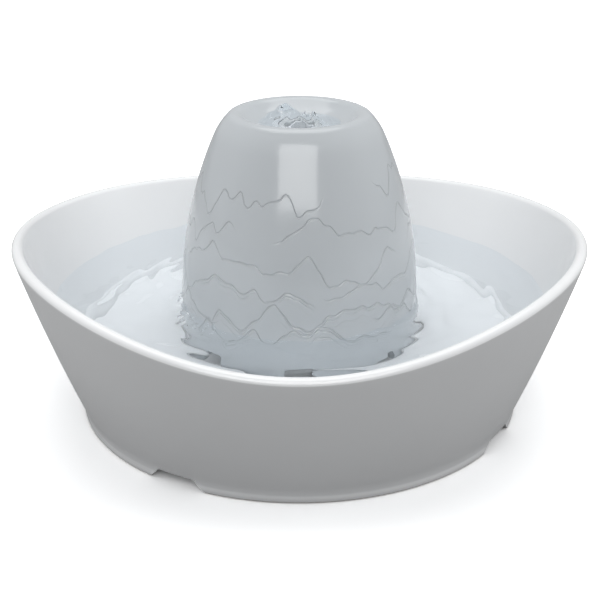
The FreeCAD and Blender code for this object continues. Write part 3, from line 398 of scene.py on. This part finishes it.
glaze_skin = bpy.data.node_groups.new("glaze_skin", "ShaderNodeTree")
glaze_skin.interface.new_socket("Cloud", in_out="OUTPUT", socket_type="NodeSocketFloat")
glaze_skin.interface.new_socket("Roughness", in_out="OUTPUT", socket_type="NodeSocketFloat")
glaze_skin.interface.new_socket("Normal", in_out="OUTPUT", socket_type="NodeSocketVector")
nodes, links = glaze_skin.nodes, glaze_skin.links
place = nodes.new("ShaderNodeTexCoord").outputs["Object"]
out = nodes.new("NodeGroupOutput")
links.new(map_range(nodes, links, noise_node(nodes, links, place, 14.0, 3.0), 0, 1, 0.975, 1.02),
          out.inputs["Cloud"])
links.new(map_range(nodes, links, noise_node(nodes, links, place, 60.0, 4.0), 0, 1, 0.10, 0.20),
          out.inputs["Roughness"])
slow = bump_node(nodes, links, noise_node(nodes, links, place, 34.0, 1.0), 0.0006, 0.5)
links.new(bump_node(nodes, links, noise_node(nodes, links, place, 260.0, 1.0), 0.00006, 0.35, slow),
          out.inputs["Normal"])

# The outer wall is the same white glaze as the inside; its darker grey is painted shade.
BOWL_INSIDE = (0.90, 0.905, 0.91, 1)
BOWL_OUTSIDE_PAINTED_SHADE = (0.62, 0.625, 0.63, 1)
BARE_CLAY = (0.62, 0.59, 0.55, 1)
OUTSIDE_ROUGHNESS = 0.34

white_glaze, nodes, links, output = new_material("white_glaze")
coat = nodes.new("ShaderNodeBsdfPrincipled")
skin = group_node(nodes, glaze_skin)
split = nodes.new("ShaderNodeSeparateXYZ")
links.new(nodes.new("ShaderNodeTexCoord").outputs["Object"], split.inputs["Vector"])
facing = nodes.new("ShaderNodeSeparateXYZ")
links.new(nodes.new("ShaderNodeNewGeometry").outputs["Normal"], facing.inputs["Vector"])
# Where the surface faces down, the glaze turns satin and takes the darker grey of painted shade.
outside = map_range(nodes, links, facing.outputs["Z"], 0.12, -0.12, smooth=True)
body_colour_and_painted_shade = nodes.new("ShaderNodeMix")
body_colour_and_painted_shade.data_type = "RGBA"
body_colour_and_painted_shade.inputs["A"].default_value = BOWL_INSIDE
body_colour_and_painted_shade.inputs["B"].default_value = BOWL_OUTSIDE_PAINTED_SHADE
links.new(outside, body_colour_and_painted_shade.inputs["Factor"])
footed = nodes.new("ShaderNodeMix")
footed.data_type = "RGBA"
footed.inputs["B"].default_value = BARE_CLAY
links.new(map_range(nodes, links, split.outputs["Z"], 0.0012, 0.0004), footed.inputs["Factor"])
links.new(body_colour_and_painted_shade.outputs["Result"], footed.inputs["A"])
clouded = nodes.new("ShaderNodeVectorMath")
clouded.operation = "SCALE"
links.new(footed.outputs["Result"], clouded.inputs["Vector"])
links.new(skin.outputs["Cloud"], clouded.inputs["Scale"])
links.new(clouded.outputs["Vector"], coat.inputs["Base Color"])
roughness = nodes.new("ShaderNodeMix")
roughness.inputs["B"].default_value = OUTSIDE_ROUGHNESS
links.new(outside, roughness.inputs["Factor"])
links.new(skin.outputs["Roughness"], roughness.inputs["A"])
links.new(roughness.outputs["Result"], coat.inputs["Roughness"])
links.new(skin.outputs["Normal"], coat.inputs["Normal"])
links.new(coat.outputs["BSDF"], output.inputs["Surface"])
bowl.data.materials.clear()
bowl.data.materials.append(white_glaze)

# The dome: a slip-cast shell under a cool grey gloss glaze, with a dished top round the outlet
# and eight water inlets in its foot. Shallow wavy lines are pressed into its side, singly higher
# up and with fainter lines under them low down. They are a plain ripple pattern made by formula,
# bumped in and painted slightly darker as painted shade in the grooves.

DOME_HEIGHT = 157.6


def dome_section(angle):
    """The dome's outline, from the foot's inside round the outside and the dish to the inside."""
    section = [(57.8, 14.5), (62.4, 14.5)]
    section += [(62.4, 14.5 + 35.5 * k / 6) for k in range(1, 7)]
    section += arc_between((62.4, 50), (43.8, 145.3), 222, 40)
    section += arc_between((43.8, 145.3), (37.3, DOME_HEIGHT - 2.4), 35, 8)
    section += arc_between((37.3, DOME_HEIGHT - 2.4), (29, DOME_HEIGHT - 1.6), 5.6, 10)
    section += arc_between((29, DOME_HEIGHT - 1.6), (11, DOME_HEIGHT - 8.6), -27, 10)
    section += [(11, 146.7), (11, 144.4), (15, 144.4), (24.4, 147.2)]
    section += arc_between((24.4, 147.2), (39.2, 143), -30.4, 6)
    section += arc_between((39.2, 143), (57.8, 50), -217.4, 24)
    return section


dome = turned("dome_glazed", dome_section, 256)
INLETS = 8
INLET_WIDTH = 14.0
INLET_HEIGHT = 8.0
INLET_CORNER = 2.0
inlet_top = SEAT_HEIGHT + INLET_HEIGHT
inlet_side = INLET_WIDTH / 2
inlet_outline = [(-inlet_side, 10), (inlet_side, 10), (inlet_side, inlet_top - INLET_CORNER),
                 (inlet_side - INLET_CORNER, inlet_top), (INLET_CORNER - inlet_side, inlet_top),
                 (-inlet_side, inlet_top - INLET_CORNER)]
cutters = []
for k in range(INLETS):
    turn = Matrix.Rotation(2 * math.pi * k / INLETS, 4, "Z")
    cutters.append(cutter(f"inlet_cutter_{k}", inlet_outline, (0, 0, 0), turn, (50, 70)))
cut_away(dome, cutters)
sharpen(dome, 38)
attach(dome, "dome")
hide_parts("dome")

DOME_GREY = (0.535, 0.562, 0.582, 1)
# The colour factor in the grooves: painted shade.
LINE_PAINTED_SHADE = 0.93
LINE_DEPTH = 0.0004
LINE_WIDTH = 0.0008
ECHO_PITCH = 0.0034
LINE_ROUGHNESS = 1.6

relief_line = bpy.data.node_groups.new("relief_line", "ShaderNodeTree")
for socket, kind in (("Height", "Float"), ("Sway", "Float"), ("Seed", "Float"), ("Facing", "Vector"),
                     ("Reach", "Float"), ("Echoes", "Float")):
    relief_line.interface.new_socket(socket, in_out="INPUT", socket_type=f"NodeSocket{kind}")
relief_line.interface.new_socket("Line", in_out="OUTPUT", socket_type="NodeSocketFloat")
nodes, links = relief_line.nodes, relief_line.links
given = nodes.new("NodeGroupInput")
place = nodes.new("ShaderNodeTexCoord").outputs["Object"]
split = nodes.new("ShaderNodeSeparateXYZ")
links.new(place, split.inputs["Vector"])
flat = nodes.new("ShaderNodeVectorMath")
flat.operation = "MULTIPLY"
flat.inputs[1].default_value = (1, 1, 0)
links.new(place, flat.inputs[0])
outward = nodes.new("ShaderNodeVectorMath")
outward.operation = "NORMALIZE"
links.new(flat.outputs["Vector"], outward.inputs[0])
seeded = nodes.new("ShaderNodeCombineXYZ")
links.new(given.outputs["Seed"], seeded.inputs["Z"])
track = nodes.new("ShaderNodeVectorMath")
track.operation = "ADD"
links.new(outward.outputs["Vector"], track.inputs[0])
links.new(seeded.outputs["Vector"], track.inputs[1])
wander = noise_node(nodes, links, track.outputs["Vector"], 3.1, LINE_ROUGHNESS)
centred = math_node(nodes, links, "SUBTRACT", wander, 0.5)
swayed = math_node(nodes, links, "MULTIPLY", centred, given.outputs["Sway"])
crest_line = math_node(nodes, links, "ADD", given.outputs["Height"], swayed)
over = math_node(nodes, links, "SUBTRACT", split.outputs["Z"], crest_line)
main = map_range(nodes, links, math_node(nodes, links, "ABSOLUTE", over), LINE_WIDTH, 0.0, smooth=True)
ruffle = math_node(nodes, links, "MULTIPLY", noise_node(nodes, links, place, 110.0, 2.0), 0.0030)
under = math_node(nodes, links, "ADD", math_node(nodes, links, "MULTIPLY", over, -1.0), ruffle)
echo = math_node(nodes, links, "PINGPONG", under, ECHO_PITCH / 2)
echo = map_range(nodes, links, echo, LINE_WIDTH * 0.8, 0.0, smooth=True)
below = map_range(nodes, links, under, 0.0, 0.0012, smooth=True)
fade = map_range(nodes, links, math_node(nodes, links, "DIVIDE", under, given.outputs["Echoes"]), 1.0, 0.1)
echo = math_node(nodes, links, "MULTIPLY", math_node(nodes, links, "MULTIPLY", echo, below), fade)
blotches = noise_node(nodes, links, place, 42.0, 2.0)
patches = map_range(nodes, links, blotches, 0.40, 0.56, 0.0, 0.8, smooth=True)
echo = math_node(nodes, links, "MULTIPLY", echo, patches)
toward = nodes.new("ShaderNodeVectorMath")
toward.operation = "DOT_PRODUCT"
links.new(outward.outputs["Vector"], toward.inputs[0])
links.new(given.outputs["Facing"], toward.inputs[1])
margin = math_node(nodes, links, "SUBTRACT", toward.outputs["Value"], given.outputs["Reach"])
window = map_range(nodes, links, margin, 0.0, 0.10, smooth=True)
out = nodes.new("NodeGroupOutput")
links.new(math_node(nodes, links, "MULTIPLY", math_node(nodes, links, "MAXIMUM", main, echo), window),
          out.inputs["Line"])

grey_glaze, nodes, links, output = new_material("grey_glaze")
coat = nodes.new("ShaderNodeBsdfPrincipled")
skin = group_node(nodes, glaze_skin)
STRANDS = 15
STRAND_TURN = math.radians(137.5)
lines = None
for k in range(STRANDS):
    strand = group_node(nodes, relief_line)
    share = k / (STRANDS - 1)
    facing_angle = math.radians(-118) + k * STRAND_TURN
    strand.inputs["Height"].default_value = 0.058 + 0.072 * share ** 1.2
    strand.inputs["Sway"].default_value = 0.050 + 0.012 * math.sin(2.0 * k)
    strand.inputs["Seed"].default_value = 3.7 * k + 0.6
    strand.inputs["Facing"].default_value = (math.cos(facing_angle), math.sin(facing_angle), 0)
    strand.inputs["Reach"].default_value = 0.22 + 0.38 * share
    strand.inputs["Echoes"].default_value = max(0.0165 * (1 - 1.5 * share), 0.0005)
    line = strand.outputs["Line"]
    lines = line if lines is None else math_node(nodes, links, "MAXIMUM", lines, line)
groove = nodes.new("ShaderNodeBump")
groove.invert = True
groove.inputs["Strength"].default_value = 0.9
groove.inputs["Distance"].default_value = LINE_DEPTH
links.new(lines, groove.inputs["Height"])
links.new(skin.outputs["Normal"], groove.inputs["Normal"])
# The grooves' colour is darkened as painted shade, times the glaze's random cloudiness.
groove_shade_and_cloud = math_node(nodes, links, "MULTIPLY", map_range(nodes, links, lines, 0, 1, 1.0, LINE_PAINTED_SHADE),
                 skin.outputs["Cloud"])
tinted = nodes.new("ShaderNodeMix")
tinted.data_type = "RGBA"
tinted.blend_type = "MULTIPLY"
tinted.inputs["Factor"].default_value = 1.0
tinted.inputs["A"].default_value = DOME_GREY
links.new(groove_shade_and_cloud, tinted.inputs["B"])
links.new(tinted.outputs["Result"], coat.inputs["Base Color"])
links.new(skin.outputs["Roughness"], coat.inputs["Roughness"])
links.new(groove.outputs["Normal"], coat.inputs["Normal"])
links.new(coat.outputs["BSDF"], output.inputs["Surface"])
dome.data.materials.clear()
dome.data.materials.append(grey_glaze)

# The water in the bowl: one sheet between the dome and the wall, with smooth rings that spread
# from the dome's foot, a slow swirl, and small splashes where the film from the dish runs in.

WATERLINE = 57.5
RINGS = 150
SPOKES = 640
SPLASH_TURN = math.radians(215)
water_inside = 62.2
water_outside = inner_radius(WATERLINE)
vertices = []
for k in range(SPOKES):
    angle = 2 * math.pi * k / SPOKES
    near_splash = math.exp(-((angle - SPLASH_TURN) / 0.45) ** 2)
    for j in range(RINGS + 1):
        radius = water_inside + (water_outside - water_inside) * j / RINGS
        x, y = radius * math.cos(angle), radius * math.sin(angle)
        reach = radius - water_inside
        swirl = noise.noise(Vector((x / 34, y / 34, 0.3)))
        rings = math.sin(reach / 1.9 + 5.0 * swirl + 0.8 * math.sin(3 * angle)) * math.exp(-reach / 38)
        long_rings = math.sin(reach / 4.6 + 7.0 * swirl + 2 * angle)
        chop = noise.fractal(Vector((x / 19, y / 19, 1.7)), 1.0, 2.0, 2)
        splash = max(0.0, noise.noise(Vector((x / 3.4, y / 3.4, 4.1)))) * math.exp(-reach / 5)
        meniscus = 0.8 * math.exp(-(water_outside - radius) / 1.5) + 1.1 * math.exp(-reach / 1.1)
        height = WATERLINE + 0.34 * rings + 0.30 * long_rings + 0.45 * chop + meniscus
        height += (0.5 + 3.6 * near_splash) * splash
        edge = inner_radius(height) if j == RINGS else radius
        vertices.append((edge * MM * math.cos(angle), edge * MM * math.sin(angle), height * MM))


def sheet_faces(spokes, rings):
    """The faces of a sheet of water whose points run outward along each spoke in turn."""
    rows = rings + 1
    quads = []
    for k in range(spokes):
        here = k * rows
        after = (k + 1) % spokes * rows
        quads += [(here + j, here + j + 1, after + j + 1, after + j) for j in range(rings)]
    return quads


water = mesh_object("water_surface", vertices, sheet_faces(SPOKES, RINGS))
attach(water, "base")


def water_material(name, froth_from, froth_to, froth_scale):
    """Clear water that lets lamps through, white where the froth's noise is over froth_from."""
    material, nodes, links, output = new_material(name)
    clear = nodes.new("ShaderNodeBsdfGlass")
    clear.inputs["Color"].default_value = (0.95, 0.97, 0.985, 1)
    clear.inputs["Roughness"].default_value = 0.03
    clear.inputs["IOR"].default_value = 1.33
    open_way = nodes.new("ShaderNodeBsdfTransparent")
    open_way.inputs["Color"].default_value = (0.95, 0.97, 0.985, 1)
    rays = nodes.new("ShaderNodeLightPath").outputs
    through = math_node(nodes, links, "MAXIMUM", rays["Is Shadow Ray"], rays["Is Diffuse Ray"])
    lit = nodes.new("ShaderNodeMixShader")
    links.new(through, lit.inputs["Fac"])
    links.new(clear.outputs["BSDF"], lit.inputs[1])
    links.new(open_way.outputs["BSDF"], lit.inputs[2])
    froth = nodes.new("ShaderNodeBsdfPrincipled")
    froth.inputs["Base Color"].default_value = (0.9, 0.92, 0.94, 1)
    froth.inputs["Roughness"].default_value = 0.3
    place = nodes.new("ShaderNodeTexCoord").outputs["Object"]
    level = noise_node(nodes, links, place, froth_scale, 4.0)
    mixed = nodes.new("ShaderNodeMixShader")
    links.new(map_range(nodes, links, level, froth_from, froth_to), mixed.inputs["Fac"])
    links.new(lit.outputs["Shader"], mixed.inputs[1])
    links.new(froth.outputs["BSDF"], mixed.inputs[2])
    links.new(mixed.outputs["Shader"], output.inputs["Surface"])
    return material


water.data.materials.append(water_material("bowl_water", 0.76, 0.92, 60.0))

# The plume: pump water that wells up through the riser. It stands as a clear smooth bulge to the
# left of the outlet and as a low ruffle to its right, and thins out towards the crest.

PLUME_RINGS = 64
PLUME_SPOKES = 144
PLUME_REACH = 21.0
BULGE_PLACE = (-7.5, 0.5)
BULGE_HEIGHT = 10.5
BULGE_SPREAD = 84.0
RUFFLE_PLACE = (7.5, -1.5)
RUFFLE_HEIGHT = 6.0
RUFFLE_SPREAD = 40.0


def dish_height(radius):
    """Surface of the dish under the film."""
    share = max(0.0, (radius - 11) / 18)
    return DOME_HEIGHT - 8.6 + 7.0 * share ** 1.6


def mound(x, y, place, spread):
    return math.exp(-((x - place[0]) ** 2 + (y - place[1]) ** 2) / spread)


vertices = []
for k in range(PLUME_SPOKES):
    angle = 2 * math.pi * k / PLUME_SPOKES
    for j in range(PLUME_RINGS + 1):
        radius = PLUME_REACH * j / PLUME_RINGS
        x, y = radius * math.cos(angle), radius * math.sin(angle)
        lobes = noise.fractal(Vector((x / 5.5, y / 5.5, 2.2)), 1.0, 2.0, 2)
        folds = noise.noise(Vector((x / 2.6, y / 3.6, 7.4)))
        edge = min(1.0, (PLUME_REACH - radius) / 4.0)
        bulge = BULGE_HEIGHT * mound(x, y, BULGE_PLACE, BULGE_SPREAD) * (1 + 0.16 * lobes)
        ruffle = RUFFLE_HEIGHT * mound(x, y, RUFFLE_PLACE, RUFFLE_SPREAD) * (1 + 0.75 * folds)
        height = dish_height(radius) + edge * (1.1 + bulge + ruffle + 0.5 * lobes)
        vertices.append((x * MM, y * MM, height * MM))
plume = mesh_object("water_plume", vertices, sheet_faces(PLUME_SPOKES, PLUME_RINGS))
plume.data.materials.append(water_material("plume_water", 0.60, 0.74, 130.0))
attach(plume, "dome")

# Moulded and cut pieces: the skin that they share. The group takes a colour, a grain scale and
# a grain depth, and puts out a colour that varies a little, a worn roughness and a grained normal.

moulded_skin = bpy.data.node_groups.new("moulded_skin", "ShaderNodeTree")
moulded_skin.interface.new_socket("Colour", in_out="INPUT", socket_type="NodeSocketColor")
moulded_skin.interface.new_socket("Roughness", in_out="INPUT", socket_type="NodeSocketFloat")
moulded_skin.interface.new_socket("Grain", in_out="INPUT", socket_type="NodeSocketFloat")
moulded_skin.interface.new_socket("Depth", in_out="INPUT", socket_type="NodeSocketFloat")
moulded_skin.interface.new_socket("Colour", in_out="OUTPUT", socket_type="NodeSocketColor")
moulded_skin.interface.new_socket("Roughness", in_out="OUTPUT", socket_type="NodeSocketFloat")
moulded_skin.interface.new_socket("Normal", in_out="OUTPUT", socket_type="NodeSocketVector")
nodes, links = moulded_skin.nodes, moulded_skin.links
given = nodes.new("NodeGroupInput")
out = nodes.new("NodeGroupOutput")
place = nodes.new("ShaderNodeTexCoord").outputs["Object"]
varied = nodes.new("ShaderNodeVectorMath")
varied.operation = "SCALE"
links.new(given.outputs["Colour"], varied.inputs["Vector"])
links.new(map_range(nodes, links, noise_node(nodes, links, place, 90.0, 3.0), 0, 1, 0.93, 1.05),
          varied.inputs["Scale"])
links.new(varied.outputs["Vector"], out.inputs["Colour"])
worn = map_range(nodes, links, noise_node(nodes, links, place, 220.0, 3.0), 0, 1, -0.07, 0.07)
links.new(math_node(nodes, links, "ADD", given.outputs["Roughness"], worn), out.inputs["Roughness"])
grain = nodes.new("ShaderNodeTexNoise")
grain.inputs["Detail"].default_value = 2.0
links.new(place, grain.inputs["Vector"])
links.new(given.outputs["Grain"], grain.inputs["Scale"])
grained = nodes.new("ShaderNodeBump")
grained.inputs["Strength"].default_value = 0.6
links.new(given.outputs["Depth"], grained.inputs["Distance"])
links.new(grain.outputs["Fac"], grained.inputs["Height"])
links.new(grained.outputs["Normal"], out.inputs["Normal"])


def skinned(name, colour, roughness, grain=900.0, depth=0.00005, metallic=0.0, through=0.0):
    """A material in the moulded skin. Gives the material, its nodes, links and shader."""
    material, nodes, links, output = new_material(name)
    coat = nodes.new("ShaderNodeBsdfPrincipled")
    skin = group_node(nodes, moulded_skin)
    skin.inputs["Colour"].default_value = (*colour, 1)
    skin.inputs["Roughness"].default_value = roughness
    skin.inputs["Grain"].default_value = grain
    skin.inputs["Depth"].default_value = depth
    for output_name, target in (("Colour", "Base Color"), ("Roughness", "Roughness"), ("Normal", "Normal")):
        links.new(skin.outputs[output_name], coat.inputs[target])
    coat.inputs["Metallic"].default_value = metallic
    coat.inputs["Transmission Weight"].default_value = through
    links.new(coat.outputs["BSDF"], output.inputs["Surface"])
    return material, nodes, links, coat


def dress(material, *names):
    """Gives CAD nodes a material."""
    for name in names:
        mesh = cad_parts[name].data
        mesh.materials.clear()
        mesh.materials.append(material)


def banded(nodes, links, coat, axis, pitch, depth, dark):
    """Adds fine bands across an axis: a darker colour between them and a groove."""
    split = nodes.new("ShaderNodeSeparateXYZ")
    links.new(nodes.new("ShaderNodeTexCoord").outputs["Object"], split.inputs["Vector"])
    saw = math_node(nodes, links, "PINGPONG", split.outputs[axis], pitch / 2)
    crest = map_range(nodes, links, saw, 0.0, pitch / 2, smooth=True)
    skin = coat.inputs["Base Color"].links[0].from_socket
    shaded = nodes.new("ShaderNodeVectorMath")
    shaded.operation = "SCALE"
    links.new(skin, shaded.inputs["Vector"])
    links.new(map_range(nodes, links, crest, 0, 1, dark, 1.0), shaded.inputs["Scale"])
    links.new(shaded.outputs["Vector"], coat.inputs["Base Color"])
    links.new(bump_node(nodes, links, crest, depth), coat.inputs["Normal"])


# Rubber and silicone: the cord grommet pressed into the bowl's floor, the pump's gland, bushes,
# chamber ring and suction feet in black rubber, and the ring round the riser in clear silicone.

black_rubber = skinned("black_rubber", (0.035, 0.035, 0.036), 0.58, grain=1400.0, depth=0.00008)[0]
dress(black_rubber, "cord_grommet", "pump_cord_gland", "chamber_seal", "suction_feet")
dress(black_rubber, "shaft_bush_front", "shaft_bush_rear")
clear_silicone = skinned("clear_silicone", (0.80, 0.82, 0.83), 0.32, grain=500.0, through=0.35)[0]
dress(clear_silicone, "dome_seal")

# The filter box, its lid and the riser tube: injection-moulded, in pale grey satin plastic.

box_plastic = skinned("box_plastic", (0.78, 0.80, 0.82), 0.40, grain=1100.0, depth=0.00006)[0]
dress(box_plastic, "pump_box", "pump_box_lid", "riser_tube")

# The foam block in front of the pump: open-cell black foam, cut from sheet, which is pushed down
# between the cartridge's rail and the pump. Its skin is pitted and its edges are soft.


def rounded_slab(name, low, high, round_radius, cell, inset):
    """A closed block with round edges between two corners, its skin moved in by inset(point)."""
    size = [high[a] - low[a] for a in range(3)]
    counts = [max(3, round(size[a] / cell)) for a in range(3)]
    index = {}
    vertices = []
    faces = []

    def corner(steps):
        if steps in index:
            return index[steps]
        at = Vector([low[a] + size[a] * steps[a] / counts[a] for a in range(3)])
        core = Vector([min(max(at[a], low[a] + round_radius), high[a] - round_radius) for a in range(3)])
        away = (at - core).normalized()
        point = core + away * (round_radius - inset(at))
        index[steps] = len(vertices)
        vertices.append(tuple(point * MM))
        return index[steps]

    for axis in range(3):
        u, v = [a for a in range(3) if a != axis]
        for side in (0, counts[axis]):
            for i in range(counts[u]):
                for j in range(counts[v]):
                    quad = []
                    for di, dj in ((0, 0), (1, 0), (1, 1), (0, 1)):
                        steps = [0, 0, 0]
                        steps[axis] = side
                        steps[u] = i + di
                        steps[v] = j + dj
                        quad.append(corner(tuple(steps)))
                    outward = (side > 0) != (axis == 1)
                    faces.append(tuple(quad) if outward else tuple(reversed(quad)))
    return mesh_object(name, vertices, faces)


def node_corners(name):
    """The lowest and highest corner of a CAD node in millimetres."""
    low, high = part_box(name)
    return [value / MM for value in low], [value / MM for value in high]


FOAM_CELL = 0.75
FOAM_ROUND = 1.6
FOAM_PIT = 0.55


def foam_inset(at):
    pit = noise.noise(at / 1.1) + 0.5 * noise.noise(at / 4.0)
    return 0.05 + FOAM_PIT * max(0.0, pit)


low, high = node_corners("foam_filter")
foam = rounded_slab("foam_block", low, high, FOAM_ROUND, FOAM_CELL, foam_inset)
black_foam, nodes, links, coat = skinned("black_foam", (0.03, 0.03, 0.032), 0.85, grain=700.0)
pores = nodes.new("ShaderNodeTexVoronoi")
pores.inputs["Scale"].default_value = 850.0
links.new(nodes.new("ShaderNodeTexCoord").outputs["Object"], pores.inputs["Vector"])
links.new(bump_node(nodes, links, pores.outputs["Distance"], 0.0005), coat.inputs["Normal"])
foam.data.materials.append(black_foam)
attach(foam, "foam")
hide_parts("foam_filter")

# The filter cartridge: a white moulded frame with bars, a pouch of non-woven cloth that is
# heat-sealed in squares, and charcoal granules in the pouch.

cartridge_plastic = skinned("cartridge_plastic", (0.88, 0.89, 0.90), 0.30, grain=600.0)[0]
dress(cartridge_plastic, "filter_frame")
charcoal, nodes, links, coat = skinned("charcoal", (0.02, 0.02, 0.021), 0.75)
granules = nodes.new("ShaderNodeTexVoronoi")
granules.inputs["Scale"].default_value = 620.0
links.new(nodes.new("ShaderNodeTexCoord").outputs["Object"], granules.inputs["Vector"])
links.new(bump_node(nodes, links, granules.outputs["Distance"], 0.0009), coat.inputs["Normal"])
dress(charcoal, "charcoal_fill")

POUCH_CELL = 0.7
POUCH_ROUND = 1.5
POUCH_SQUARES = (3, 3)
POUCH_SEAM = 0.8
low, high = node_corners("filter_pouch")


def pouch_inset(at):
    """Deep at the seams between the squares, shallow in their middles, with slight wrinkles."""
    depth = 0.0
    for axis, count in ((1, POUCH_SQUARES[0]), (2, POUCH_SQUARES[1])):
        pitch = (high[axis] - low[axis]) / count
        off_seam = abs((at[axis] - low[axis] + pitch / 2) % pitch - pitch / 2)
        depth = max(depth, POUCH_SEAM * math.exp(-(off_seam / 1.3) ** 2))
    return 0.05 + depth + 0.12 * abs(noise.noise(at / 3.0))


pouch = rounded_slab("filter_pouch_cloth", low, high, POUCH_ROUND, POUCH_CELL, pouch_inset)
pouch_cloth, nodes, links, coat = skinned("pouch_cloth", (0.86, 0.87, 0.86), 0.80, grain=500.0)
fibres = nodes.new("ShaderNodeVectorMath")
fibres.operation = "MULTIPLY"
fibres.inputs[1].default_value = (1, 0.25, 1)
links.new(nodes.new("ShaderNodeTexCoord").outputs["Object"], fibres.inputs[0])
strands = noise_node(nodes, links, fibres.outputs["Vector"], 1500.0, 4.0)
links.new(bump_node(nodes, links, strands, 0.00025), coat.inputs["Normal"])
pouch.data.materials.append(pouch_cloth)
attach(pouch, "cartridge")
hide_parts("filter_pouch")

# The pump: black moulded housing, covers and back plate, a grey flow slider, a translucent
# impeller on a ferrite magnet, a ceramic shaft, and the motor's core, bobbin and winding.

pump_plastic = skinned("pump_plastic", (0.045, 0.047, 0.05), 0.42, grain=1200.0, depth=0.00006)[0]
dress(pump_plastic, "pump_housing", "pump_back_plate", "pump_front_cover", "intake_cover")
dress(skinned("slider_plastic", (0.55, 0.57, 0.60), 0.30)[0], "flow_slider")
dress(skinned("rotor_plastic", (0.75, 0.77, 0.80), 0.28)[0], "impeller")
dress(skinned("ferrite", (0.07, 0.07, 0.072), 0.36, grain=1600.0, depth=0.00003)[0], "rotor_magnet")
dress(skinned("shaft_ceramic", (0.90, 0.89, 0.86), 0.16, grain=1800.0, depth=0.00001)[0], "pump_shaft")
dress(skinned("bobbin_plastic", (0.82, 0.80, 0.74), 0.45)[0], "coil_bobbin")

LAMINATION = 0.0005
WIRE = 0.0004
core_steel, nodes, links, coat = skinned("core_steel", (0.42, 0.42, 0.43), 0.38, metallic=1.0)
banded(nodes, links, coat, "X", LAMINATION, 0.00006, 0.55)
dress(core_steel, "stator_core")
copper_wire, nodes, links, coat = skinned("copper_wire", (0.72, 0.38, 0.20), 0.30, metallic=1.0)
banded(nodes, links, coat, "X", WIRE, 0.00018, 0.45)
dress(copper_wire, "coil_windings")

# The dressed model's box, in metres.

low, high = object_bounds()
